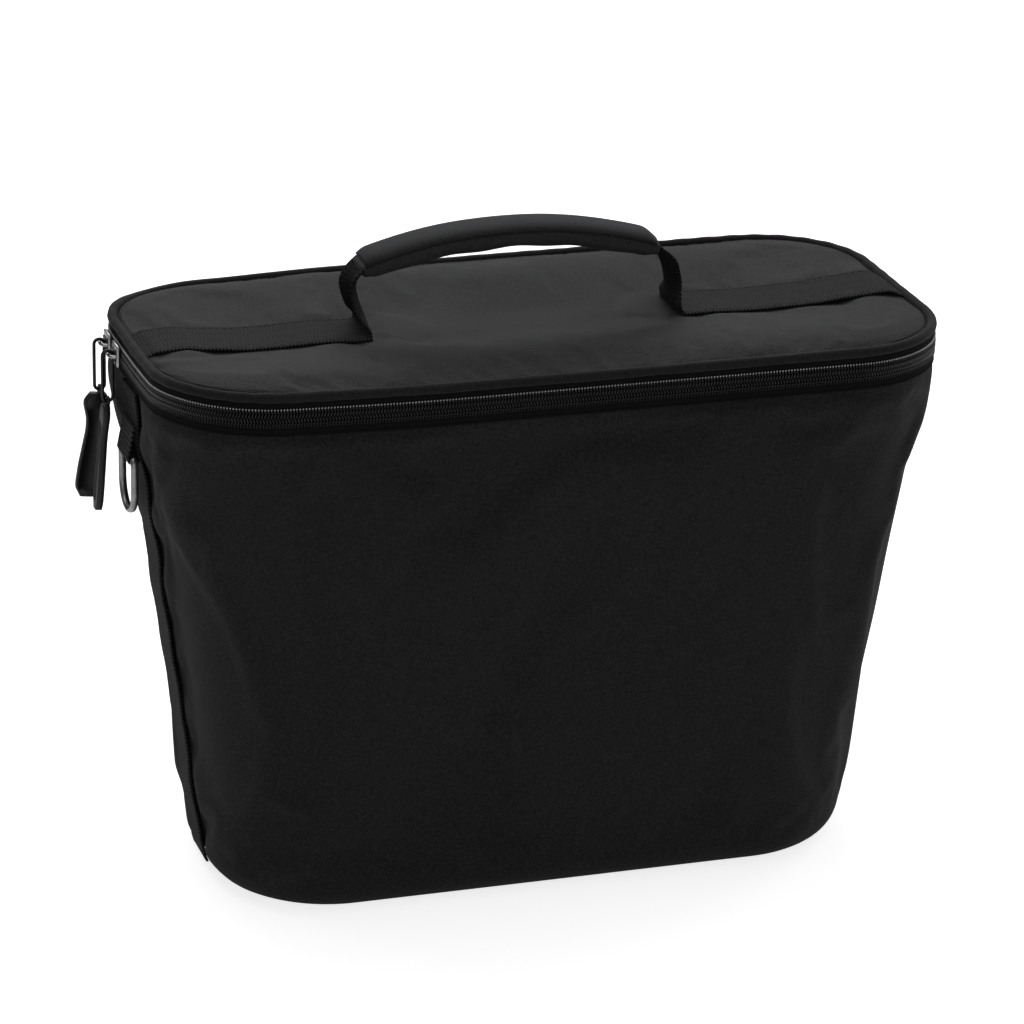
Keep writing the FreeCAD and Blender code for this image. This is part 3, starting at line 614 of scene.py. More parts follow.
def shell_offset(d, z, x, y):
    """How far the padded wall stands out or in, from its straight taper."""
    height = z / SEAM_Z
    belly = np.sin(np.pi * np.clip(height, 0, 1)) ** 0.8
    at_end = smoothstep(-0.4, 1.1, (np.abs(x) - (BASE_X - BASE_R)) / BASE_R)
    bulge = belly * (2.0 * MM - 2.2 * MM * at_end)
    pinch = -1.6 * MM * bump_at(z, SEAM_Z, 5 * MM)
    gap = side_gap(x, y)
    near_strap = bump_at(gap, 19 * MM, 9 * MM)
    wave = 0.8 * np.sin(z / (9 * MM) + 2.4 * np.sin(z / (31 * MM)) + d * 9)
    wave = wave + 0.6 * np.sin(z / (5.3 * MM) + d * 31)
    ripple = wave * near_strap * 1.15 * MM
    channel = -1.6 * MM * bump_at(gap, 0, 14 * MM)
    slow = 1.0 * MM * smooth_noise(d / (120 * MM), z / (90 * MM), seed=3)
    diagonal = 0.3 * MM * smooth_noise((d + z) / (42 * MM), (d - z) / (120 * MM), seed=5)
    off_middle = smoothstep(0.62, 0.95, np.abs(x) / BASE_X)
    low_corner = bump_at(z, 30 * MM, 26 * MM) * off_middle * 1.5 * MM
    slanted = d + 0.9 * z
    low_drift = 2 * smooth_noise(d / (60 * MM), z / (40 * MM), seed=9)
    low_fold = low_corner * np.sin(slanted / (6.5 * MM) + low_drift)
    low_fold = low_fold * smoothstep(-0.2, 0.7, smooth_noise(d / (45 * MM), z / (60 * MM), seed=10))
    top = bump_at(z, SEAM_Z - 26 * MM, 24 * MM) * off_middle * 1.6 * MM
    top_fold = top * smooth_noise((d + 0.7 * z) / (19 * MM), (d - z) / (70 * MM), seed=12)
    fade = smoothstep(0, 10 * MM, z) * smoothstep(0, 6 * MM, SEAM_Z - z)
    return (bulge + slow + diagonal + ripple + channel + low_fold + top_fold) * fade + pinch


def shell_rows():
    """Heights and insets of the rows, from the base's rounded edge to the seam."""
    turns = np.linspace(0, 1, TRAY_ROWS)
    low_z = BASE_EDGE * (1 - np.cos(turns * math.pi / 2))
    low_in = BASE_EDGE * (1 - np.sin(turns * math.pi / 2))
    high_z = np.linspace(BASE_EDGE, SEAM_Z, 72)[1:]
    z = np.concatenate([low_z, high_z])
    inset = np.concatenate([low_in, np.zeros(len(high_z))])
    return z, inset


def shell_points(columns):
    z, inset = shell_rows()
    rows = []
    d = np.linspace(0, RIM_LENGTH, columns, endpoint=False)
    for height, draw_in in zip(z, inset):
        half_x, half_y, corner = wall_size(height)
        x, y, nx, ny = loop_point(d, half_x - draw_in, half_y - draw_in, corner - draw_in)
        out = shell_offset(d, height, x, y)
        rows.append(np.stack([x + nx * out, y + ny * out, np.full_like(x, height)], -1))
    return np.stack(rows), d, z


def build_shell():
    columns = SHELL_COLUMNS
    points, d, z = shell_points(columns)
    cage = grid_mesh("shell_cage", points, closed_u=True)
    x, y = points[..., 0], points[..., 1]
    height = np.broadcast_to(z[:, None], x.shape)
    held = np.maximum(1 - smoothstep(BASE_EDGE, BASE_EDGE + 9 * MM, height),
                      smoothstep(SEAM_Z - 7 * MM, SEAM_Z - 1 * MM, height))
    strap = 1 - smoothstep(10 * MM, 16 * MM, side_gap(x, y))
    held = np.maximum(held, strap)
    moved = puff(cage, held.ravel(), 0.5, 18, 2.6 * MM, shrink=-0.02)
    bpy.data.objects.remove(cage)
    moved = moved.reshape(points.shape)
    uv = np.stack(np.meshgrid(d, z), -1)
    right = int(round(RIGHT_END_MID / RIM_LENGTH * columns))
    left = int(round(LEFT_END_MID / RIM_LENGTH * columns))
    wall, wall_uv = moved[TRAY_ROWS - 1:], uv[TRAY_ROWS - 1:]
    front = grid_mesh("front_panel_fabric", wall[:, right:left + 1], wall_uv[:, right:left + 1])
    order = list(range(left, columns)) + list(range(0, right + 1))
    back = grid_mesh("back_panel_fabric", wall[:, order], wall_uv[:, :len(order)])
    base = build_base(moved[:TRAY_ROWS])
    for piece, stands_for in ((front, "front_panel"), (back, "back_panel"), (base, "base_panel")):
        add_subdivision(piece, 1)
        assign(piece, "shell", "bag", "shell_fabric" if piece is not base else "base_fabric", stands_for)
    return moved


def build_base(rows):
    """Rounded edge of the base and its flat underside."""
    centre = rows[0].copy()
    inner = []
    for share in (0.8, 0.5, 0.2, 0.0):
        ring = centre * [share, share, 1]
        if share == 0:
            ring[:, 0] = centre[:, 0] * 0.4
        inner.append(ring)
    points = np.concatenate([np.stack(inner[::-1]), rows])
    return grid_mesh("base_fabric", points, closed_u=True)


shell = build_shell()


def surface_tree(points, closed_u=False):
    """Surface lookup for pieces that lie on a grid of points."""
    rows, cols = points.shape[:2]
    steps = cols if closed_u else cols - 1
    faces = [(r * cols + c, r * cols + (c + 1) % cols, (r + 1) * cols + (c + 1) % cols, (r + 1) * cols + c)
             for r in range(rows - 1) for c in range(steps)]
    return BVHTree.FromPolygons(points.reshape(-1, 3).tolist(), faces)


wall_tree = surface_tree(shell, closed_u=True)


def wall_hit(side, y, z):
    """X of the end wall at a place, from outside; side is -1 or 1."""
    hit = wall_tree.ray_cast(Vector((side * 0.3, y, z)), Vector((-side, 0, 0)))
    return hit[0].x if hit[0] is not None else side * (BASE_X + SLOPE_X * z)


# Lid ---


def rim_inset(x, y, half_x=RIM_X, half_y=RIM_Y, corner=RIM_R):
    """Distance in from the rim's outline."""
    qx = np.abs(x) - (half_x - corner)
    qy = np.abs(y) - (half_y - corner)
    outside = np.hypot(np.maximum(qx, 0), np.maximum(qy, 0))
    return corner - outside - np.minimum(np.maximum(qx, qy), 0)


def lid_height(x, y):
    """Padded lid: narrow groove by the piping, round shoulder, gentle crown, webbing sewn down."""
    inset = rim_inset(x, y)
    inside = np.clip(inset - LID_GROOVE, 0, 1)
    rise = 1 - np.exp(-inside / (1.7 * MM))
    shoulder = 1 - np.exp(-(inside / (15 * MM)) ** 1.7)
    dip = np.exp(-(y / (44 * MM)) ** 2) * (1 - 0.75 * smoothstep(0.72, 0.98, np.abs(x) / RIM_X))
    z = LID_Z - 1.7 * MM + 1.9 * MM * rise + (4.2 * MM - 6.6 * MM * dip) * shoulder
    under = 1 - smoothstep(STRAP_HALF - 2 * MM, STRAP_HALF + 6 * MM, np.abs(y))
    under = under * smoothstep(ROOT_X - 14 * MM, ROOT_X + 4 * MM, np.abs(x))
    z = z - under * 0.8 * MM * shoulder
    slow = 0.6 * MM * smooth_noise(x / (60 * MM), y / (30 * MM), seed=21)
    pucker = bump_at(np.abs(y), STRAP_HALF + 4 * MM, 6 * MM) * smoothstep(ROOT_X, ROOT_X + 8 * MM, np.abs(x))
    fold = 0.7 * MM * np.sin(x / (6.5 * MM) + 3 * smooth_noise(x / (40 * MM), y / (40 * MM), seed=4))
    corner = bump_at(x, -STRAP_END_X + 14 * MM, 22 * MM) * bump_at(y, -STRAP_HALF - 12 * MM, 10 * MM)
    crease = 0.9 * MM * np.sin((x + 1.6 * y) / (5.5 * MM)) * corner
    return z + (slow + fold * pucker + crease) * rise


def lid_grid(inset, columns_mid=150, columns_end=34, rows=96):
    """A grid that fills the lid's outline, finer at the rounded ends."""
    half_x, half_y, corner = RIM_X - inset, RIM_Y - inset, RIM_R - inset
    flat = half_x - corner
    turn = np.linspace(0, math.pi / 2, columns_end)[1:]
    right = flat + corner * np.sin(turn)
    x = np.concatenate([-right[::-1], np.linspace(-flat, flat, columns_mid), right])
    beyond = np.clip(np.abs(x) - flat, 0, corner)
    reach = half_y - corner + np.sqrt(np.maximum(corner ** 2 - beyond ** 2, 0))
    v = np.sin(np.linspace(-1, 1, rows) * math.pi / 2)
    v = 0.5 * v + 0.5 * np.linspace(-1, 1, rows)
    return np.broadcast_to(x[None], (rows, len(x))).copy(), v[:, None] * reach[None]


def build_lid():
    x, y = lid_grid(LID_EDGE)
    points = np.stack([x, y, lid_height(x, y)], -1)
    inset = rim_inset(x, y)
    cage = grid_mesh("lid_cage", points)
    held = 1 - smoothstep(4.4 * MM, 7 * MM, inset)
    sewn = (1 - smoothstep(STRAP_HALF - 1 * MM, STRAP_HALF + 3 * MM, np.abs(y)))
    sewn = sewn * smoothstep(ROOT_X - 6 * MM, ROOT_X, np.abs(x))
    moved = puff(cage, np.maximum(held, sewn).ravel(), 0.25, 14, 1.0 * MM, shrink=-0.008)
    bpy.data.objects.remove(cage)
    moved = moved.reshape(points.shape)
    cover = grid_mesh("lid_cover_fabric", moved, np.stack([x, y], -1))
    add_subdivision(cover, 1)
    assign(cover, "lid", "lid", "lid_fabric", "lid_cover", "lid_foam", "lid_board")
    return surface_tree(moved)


lid_tree = build_lid()


def lid_top(x, y):
    hit = lid_tree.ray_cast(Vector((x, y, 0.4)), Vector((0, 0, -1)))
    return hit[0].z if hit[0] is not None else LID_Z


def piping_wobble(d, out, up):
    """Fabric over the cord: small gathers, closer together round the corners."""
    gather = 1 + 0.05 * np.sin(d / (2.1 * MM)) * bump_at(np.sin(d * 11), 1, 0.9)
    gather = gather + 0.06 * smooth_noise(d / (18 * MM), up * 0, seed=31)
    sag = 0.2 * MM * smooth_noise(d / (55 * MM), up * 0, seed=33)
    return -PIPE_R + (out + PIPE_R) * gather, PIPE_Z + (up - PIPE_Z) * gather + sag


def build_piping():
    section = circle_section(PIPE_R * 0.96, (-PIPE_R, PIPE_Z), 16)
    points = rim_sweep(section, 0, RIM_LENGTH, 900, closed=True, wobble=piping_wobble)
    roll = grid_mesh("lid_piping_fabric", points, closed_u=True, closed_v=True)
    assign(roll, "piping", "lid", "piping_fabric", "lid_piping", "piping_cord")
    # Stitched channel where the piping's flange meets the cover
    d = np.linspace(0, RIM_LENGTH, 900)
    x, y, nx, ny = loop_point(d)
    draw_in = 6.4 * MM
    x, y = x - nx * draw_in, y - ny * draw_in
    path = np.stack([x, y, [lid_top(a, b) + 0.1 * MM for a, b in zip(x, y)]], -1)
    stitches("lid_edge_stitches", path, (0, 0, 1), "lid", "piping_fabric", pitch=3.0 * MM, thread=0.5 * MM)


build_piping()


def ribbon(name, centre, normal, half_width, thick, curl=0.0, edge_wave=0.0):
    """Flat webbing along a centre line, as wide as asked, its edges curled by a given rise."""
    centre, normal = np.asarray(centre, float), np.asarray(normal, float)
    count = len(centre)
    half_width = np.broadcast_to(np.asarray(half_width, float), count)
    curl = np.broadcast_to(np.asarray(curl, float), count)
    steps = np.concatenate([[0], np.cumsum(np.linalg.norm(np.diff(centre, axis=0), axis=1))])
    top = np.array([-1, -0.985, -0.93, -0.75, -0.5, -0.25, 0, 0.25, 0.5, 0.75, 0.93, 0.985, 1])
    level = np.array([0.5, 0.85, 1, 1, 1, 1, 1, 1, 1, 1, 1, 0.85, 0.5])
    share = np.concatenate([top, top[-2:0:-1]])
    level = np.concatenate([level, 1 - level[-2:0:-1]])
    width = half_width[:, None] + edge_wave * np.sin(steps / (1.3 * MM))[:, None]
    across = share[None] * width
    rise = level[None] * thick + curl[:, None] * share[None] ** 2
    points = centre[:, None] + across[..., None] * np.array([0, 1.0, 0]) + rise[..., None] * normal[:, None]
    uv = np.stack(np.broadcast_arrays(steps[:, None], share[None] * half_width.max()), -1)
    obj = grid_mesh(name, points, uv, closed_u=True)
    cap_ends(obj, count, points.shape[1])
    return obj


def cap_ends(obj, rows, cols):
    """Closes the two ends of a tube-like grid."""
    mesh = obj.data
    work = bmesh.new()
    work.from_mesh(mesh)
    work.verts.ensure_lookup_table()
    for row in (0, rows - 1):
        work.faces.new([work.verts[row * cols + c] for c in range(cols)])
    bmesh.ops.recalc_face_normals(work, faces=work.faces)
    work.to_mesh(mesh)
    work.free()


def root_x(side):
    """The right root of the handle is sewn a little nearer the middle."""
    return ROOT_X if side < 0 else ROOT_X - RIGHT_ROOT_SHIFT


def build_lid_straps():
    """The sewn lengths of the handle webbing."""
    for side, word in ((-1, "left"), (1, "right")):
        x = np.linspace(root_x(side), STRAP_END_X + 3.5 * MM, 240) * side
        y = np.linspace(-STRAP_HALF, STRAP_HALF, 9)
        z = np.array([[lid_top(a, b * 0.96) for b in y] for a in x])
        body = z.max(1)
        body = np.convolve(np.pad(body, 8, mode="edge"), np.ones(17) / 17, "valid")
        tuck = smoothstep(STRAP_END_X - 3 * MM, STRAP_END_X + 3.5 * MM, np.abs(x)) * 1.5 * MM
        centre = np.stack([x, np.zeros_like(x), body - tuck], -1)
        normal = np.repeat([[0, 0, 1.0]], len(x), 0)
        strap = ribbon(f"lid_strap_{word}_webbing", centre, normal, STRAP_HALF, WEBBING_THICK,
                       edge_wave=0.1 * MM)
        assign(strap, "strap", "lid", "webbing", f"lid_strap_{word}")
        for edge in (-1, 1):
            line = centre + np.array([0, edge * (STRAP_HALF - 2.6 * MM), 1.55 * MM])
            stitches(f"lid_strap_{word}_stitches{edge + 1}", line, (0, 0, 1), "lid", "webbing",
                     pitch=3.4 * MM)


build_lid_straps()

# Zip ---


def build_tapes():
    """Twill tapes above and below the coil, carried on behind the hinge fabric at both ends."""
    start, end = zip_distance()
    upper = [(-1.7 * MM, coil_high.z - 1.0 * MM), (-1.0 * MM, coil_high.z + 0.5 * MM),
             (-0.9 * MM, coil_high.z + 2.0 * MM), (-1.6 * MM, PIPE_Z - 1.0 * MM), (-2.6 * MM, PIPE_Z)]
    lower = [(-2.4 * MM, SEAM_Z - 2.5 * MM), (-1.2 * MM, SEAM_Z - 0.4 * MM), (-0.7 * MM, SEAM_Z + 1.2 * MM),
             (-1.1 * MM, coil_low.z), (-1.8 * MM, coil_low.z + 1.5 * MM)]
    for name, section, body, stands_for in (("zip_tape_upper_twill", upper, "lid", "zip_tape_upper"),
                                            ("zip_tape_lower_twill", lower, "bag", "zip_tape_lower")):
        points = rim_sweep(section, start - TAPE_TAIL, end + TAPE_TAIL, 660)
        tape = grid_mesh(name, points)
        add_thickness(tape, 0.5 * MM)
        assign(tape, "tape", body, "zip_tape", stands_for)


def build_coils():
    """Two rows of slanted coil turns that interlock, each with a row of loops along its edge; the upper row's
    loops are painted near-white, a painted highlight for the glints on the coil's top edge.
    """
    start, end = zip_distance()
    count = int((end - start) / COIL_PITCH)
    d = start + (np.arange(count) + 0.5) * COIL_PITCH
    up = np.array([0, 0, 1.0])
    for row, body, sign in (("upper", "lid", 1), ("lower", "bag", -1)):
        x, y, nx, ny = loop_point(d + (0.5 * COIL_PITCH if sign > 0 else 0))
        tangent = np.stack([-ny, nx, np.zeros_like(nx)], -1)
        outward = np.stack([nx, ny, np.zeros_like(nx)], -1)

        def at(height, draw_in):
            level = np.full_like(x, COIL_MID + sign * height)
            return np.stack([x - nx * draw_in, y - ny * draw_in, level], -1)

        slanted = up[None] * math.cos(0.38) + tangent * math.sin(0.38) * sign
        turns = scatter(f"zip_coil_{row}", bead_template(2.7 * MM, 0.62 * MM, 1.7 * MM),
                        at(1.1 * MM, 0.95 * MM), slanted, outward)
        steep = up[None] * math.cos(0.75) - tangent * math.sin(0.75) * sign
        backs = scatter(f"zip_coil_back_{row}", bead_template(1.7 * MM, 0.62 * MM, 1.5 * MM),
                        at(2.95 * MM, 1.05 * MM), steep, outward)
        loops = scatter(f"zip_loops_{row}", bead_template(0.8 * MM, 0.62 * MM, 0.9 * MM, 5, 8),
                        at(4.05 * MM, 0.75 * MM), np.repeat(up[None], count, 0), outward)
        for piece, look in ((turns, "coil"), (backs, "coil"), (loops, "coil_edge" if sign > 0 else "coil")):
            assign(piece, look, body, "zip_coil")
        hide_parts(f"zip_teeth_{row}")


build_tapes()
build_coils()


def build_seams():
    """The seam ridge below the zip."""
    ridge = circle_section(0.6 * MM, (-1.5 * MM, SEAM_Z - 0.3 * MM), 8)
    points = rim_sweep(ridge, 0, RIM_LENGTH, 700, closed=True)
    fold = grid_mesh("body_seam_fold", points, closed_u=True, closed_v=True)
    assign(fold, "shell", "bag", "shell_fabric")


build_seams()

# Hinge and inside ---


def build_hinge():
    """Fabric across the back between the tub and the lid, bowed out a little in the middle."""
    half = hinge_high.x
    x = np.linspace(-half - HINGE_TUCK, half + HINGE_TUCK, 90)
    z = np.linspace(SEAM_Z - 3 * MM, PIPE_Z + 0.5 * MM, 22)
    share = (z - z[0]) / (z[-1] - z[0])
    bow = 0.8 * MM * np.sin(share * math.pi)
    xx, zz = np.meshgrid(x, z)
    beyond = np.clip(np.abs(xx) - half, 0, 1)
    drop = RIM_R - np.sqrt(np.maximum(RIM_R ** 2 - beyond ** 2, 0))
    ripple = 0.25 * MM * np.sin(xx / (7 * MM)) * np.sin(share * math.pi)[:, None]
    yy = RIM_Y - 1.0 * MM - drop + bow[:, None] + ripple
    strip = grid_mesh("hinge_fabric", np.stack([xx, yy, zz], -1))
    add_thickness(strip, 0.9 * MM, 0)
    dress(strip, "shell")
    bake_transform(strip)
    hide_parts("hinge_tape")


def build_inside():
    """Lining of the tub with its binding, and the lid's underside."""
    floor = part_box("base_lining")[1].z
    heights = np.concatenate([[floor - 2 * MM], np.linspace(floor, SEAM_Z - 1 * MM, 34)])
    d = np.linspace(0, RIM_LENGTH, 240, endpoint=False)
    rows = []
    for height in heights:
        half_x, half_y, corner = wall_size(height)
        x, y, nx, ny = loop_point(d, half_x - LINING_INSET, half_y - LINING_INSET, corner - LINING_INSET)
        soft = -0.8 * MM * (1 + smooth_noise(d / (50 * MM), d * 0 + height / (45 * MM), seed=41))
        soft = soft * math.sin(math.pi * np.clip((height - floor) / (SEAM_Z - floor), 0, 1)) ** 0.5
        rows.append(np.stack([x + nx * soft, y + ny * soft, np.full_like(x, height)], -1))
    walls = grid_mesh("inner_lining_fabric", np.stack(rows), closed_u=True)
    foot_x, foot_y = rows[1][:, 0], rows[1][:, 1]
    base_rows = [np.stack([foot_x * s, foot_y * s, np.full_like(foot_x, floor + 0.6 * MM * (1 - s))], -1)
                 for s in (1.0, 0.9, 0.7, 0.45, 0.2, 0.02)]
    base = grid_mesh("base_lining_fabric", np.stack(base_rows), closed_u=True)
    section = circle_section(1.0, (0, 0), 14) * [4.2 * MM, 1.7 * MM] + [-4.8 * MM, SEAM_Z - 0.6 * MM]
    points = rim_sweep(section, 0, RIM_LENGTH, 500, closed=True)
    binding = grid_mesh("rim_binding_tape", points, closed_u=True, closed_v=True)
    for piece, node_name, look, slot in ((walls, "inner_lining", "lining", "lining_fabric"),
                                         (base, "base_lining", "lining", "lining_fabric"),
                                         (binding, "rim_binding", "tape", "binding")):
        assign(piece, look, "bag", slot, node_name)
    for hidden in ("front_foam", "back_foam", "left_foam", "right_foam", "base_foam", "base_board"):
        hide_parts(hidden)
    build_lid_underside()


def build_lid_underside():
    """Lining under the lid, turned up round its edge."""
    x, y = lid_grid(3.4 * MM, 60, 16, 36)
    inset = rim_inset(x, y)
    low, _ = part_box("lid_lining")
    edge = np.exp(-np.clip(inset - 4 * MM, 0, 1) / (5 * MM))
    quilt = 0.35 * MM * smooth_noise(x / (45 * MM), y / (40 * MM), seed=51)
    z = low.z + edge * 3.5 * MM - quilt * (1 - edge)
    under = grid_mesh("lid_lining_fabric", np.stack([x, y, z], -1)[::-1], np.stack([x, y], -1))
    add_subdivision(under, 1)
    assign(under, "lining", "lid", "lining_fabric", "lid_lining")


build_hinge()
build_inside()

# Handle ---


def arch_line(count):
    """Centre line of the grip in X and Z, read from the grip's box."""
    half = (grip_high.x - grip_low.x) / 2
    middle = (grip_high.x + grip_low.x) / 2 - GRIP_SHIFT
    rise = (grip_high.z - grip_low.z) - GRIP_THICK
    radius = (half ** 2 + rise ** 2) / (2 * rise)
    reach = math.asin(half / radius)
    angle = np.linspace(-reach, reach, count)
    x = middle + radius * np.sin(angle)
    z = grip_high.z - GRIP_THICK / 2 - radius * (1 - np.cos(angle))
    return x, z, angle


def build_grip():
    """Fabric rolled round foam: flat flap over the top, round front, wavy underside."""
    count, sides = 110, 36
    x, z, angle = arch_line(count)
    turn = np.linspace(0, 2 * math.pi, sides, endpoint=False)
    z = z - GRIP_LOWER
    power = 0.72
    across = np.sign(np.cos(turn)) * np.abs(np.cos(turn)) ** power * GRIP_HALF_WIDTH
    upward = np.sign(np.sin(turn)) * np.abs(np.sin(turn)) ** power * GRIP_HALF_THICK
    share = np.abs(np.linspace(-1, 1, count))
    pinch = 1 - 0.42 * smoothstep(0.9, 1.0, share)
    slim = 1 - 0.12 * smoothstep(0.86, 1.0, share)
    wave = 0.5 * MM * np.sin(x / (5.2 * MM)) + 0.5 * MM * smooth_noise(x / (16 * MM), x * 0, seed=61)
    points = np.zeros((count, sides, 3))
    for k in range(count):
        low = np.clip(-upward / GRIP_HALF_THICK, 0, 1)
        up = upward * pinch[k] - low * wave[k]
        lump = 0.35 * MM * smooth_noise(np.full(sides, x[k] / (22 * MM)), turn * 1.4, seed=63)
        normal = np.array([math.sin(angle[k]), 0, math.cos(angle[k])])
        points[k] = (np.array([x[k], 0, z[k]]) + np.outer(across * slim[k], [0, 1, 0])
                     + np.outer(up + lump, normal))
    grip = grid_mesh("handle_grip_fabric", points, closed_u=True)
    cap_ends(grip, count, sides)
    add_subdivision(grip, 1)
    # The roll takes the lighter grip colour: painted light on its bulging front.
    assign(grip, "grip", "handle", "grip_fabric", "handle_grip", "handle_foam")
    build_flap(x, z, angle, pinch, slim)


def build_flap(x, z, angle, pinch, slim):
    """The fabric's free edge, folded over the top, turned down and stitched at the front."""
    rows = []
    offsets = np.concatenate([np.linspace(-0.965, -0.8, 5), np.linspace(-0.7, 0.8, 12)]) * GRIP_HALF_WIDTH
    for k in range(2, len(x) - 2):
        normal = np.array([math.sin(angle[k]), 0, math.cos(angle[k])])
        crown = GRIP_HALF_THICK * (1 - (np.abs(offsets) / GRIP_HALF_WIDTH) ** 2.8) ** 0.36
        tuck = smoothstep(-0.965 * GRIP_HALF_WIDTH, -0.9 * GRIP_HALF_WIDTH, offsets)
        height = crown * pinch[k] + 0.1 * MM + 0.35 * MM * tuck
        sway = 0.25 * MM * math.sin(x[k] / (9 * MM))
        across = offsets * slim[k] + sway * slim[k]
        rows.append(np.array([x[k], 0, z[k]]) + np.outer(across, [0, 1, 0]) + np.outer(height, normal))
    flap = grid_mesh("handle_flap_fabric", np.stack(rows))
    add_thickness(flap, 0.7 * MM)
    assign(flap, "flap", "handle", "grip_fabric")
    line = np.stack([row[4] for row in rows]) + [0, -0.1 * MM, 0.15 * MM]
    boxes = []
    for end in (6, len(rows) - 7):
        boxes.append(np.stack([rows[end][c] for c in range(3, 16)]) + [0, 0, 0.2 * MM])
    for index, path in enumerate([line] + boxes):
        stitches(f"handle_flap_stitches{index}", path, (0, -0.3, 1), "handle", "grip_fabric",
                 pitch=3.0 * MM, thread=0.6 * MM)


def build_risers():
    """Webbing from the lid's stitched roots, gathered and curled, up into the grip's ends."""
    x, z, _ = arch_line(60)
    for side, word in ((-1, "left"), (1, "right")):
        end = 0 if side < 0 else -1
        root = root_x(side)
        base = lid_top(side * root, 0) + 1.4 * MM
        tip = np.array([x[end], 0, z[end] - GRIP_LOWER])
        into = np.array([-side * 9 * MM, 0, 3.4 * MM])
        control = [(side * (root + 5 * MM), 0, base - 1.2 * MM), (side * (root + 1 * MM), 0, base - 1.2 * MM),
                   (side * (root - 4 * MM), 0, base - 1 * MM), (side * (root - 5 * MM), 0, base + 12 * MM),
                   tip + [side * 8 * MM, 0, -12 * MM], tip + [side * 4 * MM, 0, -1.5 * MM], tip + into]
        path = bezier(control, np.linspace(0, 1, 90)[:, None])
        tangent = np.gradient(path, axis=0)
        tangent /= np.linalg.norm(tangent, axis=1)[:, None]
        normal = np.cross(tangent, [0, 1, 0])
        normal = normal if normal[0, 2] > 0 else -normal
        climb = (path[:, 2] - base) / (tip[2] - base)
        narrow = smoothstep(0.0, 0.45, climb)
        half_width = (STRAP_HALF - 0.3 * MM) * (1 - 0.44 * narrow)
        curl = 4.6 * MM * narrow * (1 - 0.5 * smoothstep(0.7, 1.0, climb))
        riser = ribbon(f"handle_riser_{word}", path, normal, half_width, 1.4 * MM, curl, 0.1 * MM)
        dress(riser, "strap")
        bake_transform(riser)
        if side < 0:
            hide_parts("handle_strap")


def bezier(control, t):
    points = [np.asarray(p, float)[None] + 0 * t for p in control]
    while len(points) > 1:
        points = [a * (1 - t) + b * t for a, b in zip(points[:-1], points[1:])]
    return points[0]


build_grip()
build_risers()

# End webbing and D-rings ---


def outermost_hit(side, half_width, height):
    """How far out the end wall stands anywhere under a strap of this half width."""
    reach = [side * wall_hit(side, y, height) for y in np.linspace(-half_width, half_width, 7)]
    return side * max(reach)


def build_ends():
    """Webbing down each end of the tub, with its loop and D-ring."""
    for side, word in ((-1, "left"), (1, "right")):
        low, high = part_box(f"side_strap_{word}")
        z = np.linspace(high.z, max(low.z - 9 * MM, 4 * MM), 90)
        x = np.array([outermost_hit(side, (high.y - low.y) / 2, max(h, 3 * MM)) for h in z])
        x = np.convolve(np.pad(x, 3, mode="edge"), np.ones(7) / 7, "valid") + side * 0.6 * MM
        x = x - side * 2.6 * MM * (1 - smoothstep(-4 * MM, 9 * MM, z))
        centre = np.stack([x, np.zeros_like(x), z], -1)
        normal = np.repeat([[side, 0, 0.0]], len(z), 0)
        width = high.y - low.y
        strap = ribbon(f"side_strap_{word}_webbing", centre, normal, width / 2, 1.4 * MM)
        # The darker canvas colour is painted shade on the ends, which face away from the lamps.
        assign(strap, "canvas", "bag", "webbing", f"side_strap_{word}")
        for edge in (-1, 1):
            line = centre + np.array([side * 1.42 * MM, edge * (width / 2 - 2.2 * MM), 0])
            stitches(f"side_strap_{word}_stitches{edge + 1}", line, (side, 0, 0), "bag", "webbing")
        build_ring_loop(side, word)
        build_d_ring(word)


def build_ring_loop(side, word):
    """Webbing doubled over the D-ring's bar and sewn to the end webbing."""
    ring_low, ring_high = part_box(f"d_ring_{word}")
    low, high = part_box(f"ring_loop_{word}")
    bar_x = (ring_low.x + ring_high.x) / 2
    bar_z = ring_high.z - D_RING_INSET
    radius = 1.9 * MM
    top_z = high.z
    wall_top = wall_hit(side, 0, top_z) + side * 2.0 * MM
    turn = np.linspace(0, math.pi, 12)
    bend = np.stack([bar_x - side * radius * np.cos(turn), 0 * turn, bar_z - radius * np.sin(turn)], -1)
    inner = np.linspace([wall_top, 0, top_z], bend[0], 12, endpoint=False)
    outer = np.linspace(bend[-1], [wall_top + side * 2.0 * MM, 0, top_z - 0.5 * MM], 12)
    path = np.concatenate([inner, bend, outer])
    tangent = np.gradient(path, axis=0)
    tangent /= np.linalg.norm(tangent, axis=1)[:, None]
    normal = np.cross([0, 1, 0], tangent) * -side
    middle = np.array([bar_x, 0, bar_z])
    if np.dot(normal[17], path[17] - middle) < 0:
        normal = -normal
    loop = ribbon(f"ring_loop_{word}_webbing", path, normal, (high.y - low.y) / 2, 1.15 * MM)
    assign(loop, "ribbed", "bag", "webbing", f"ring_loop_{word}")


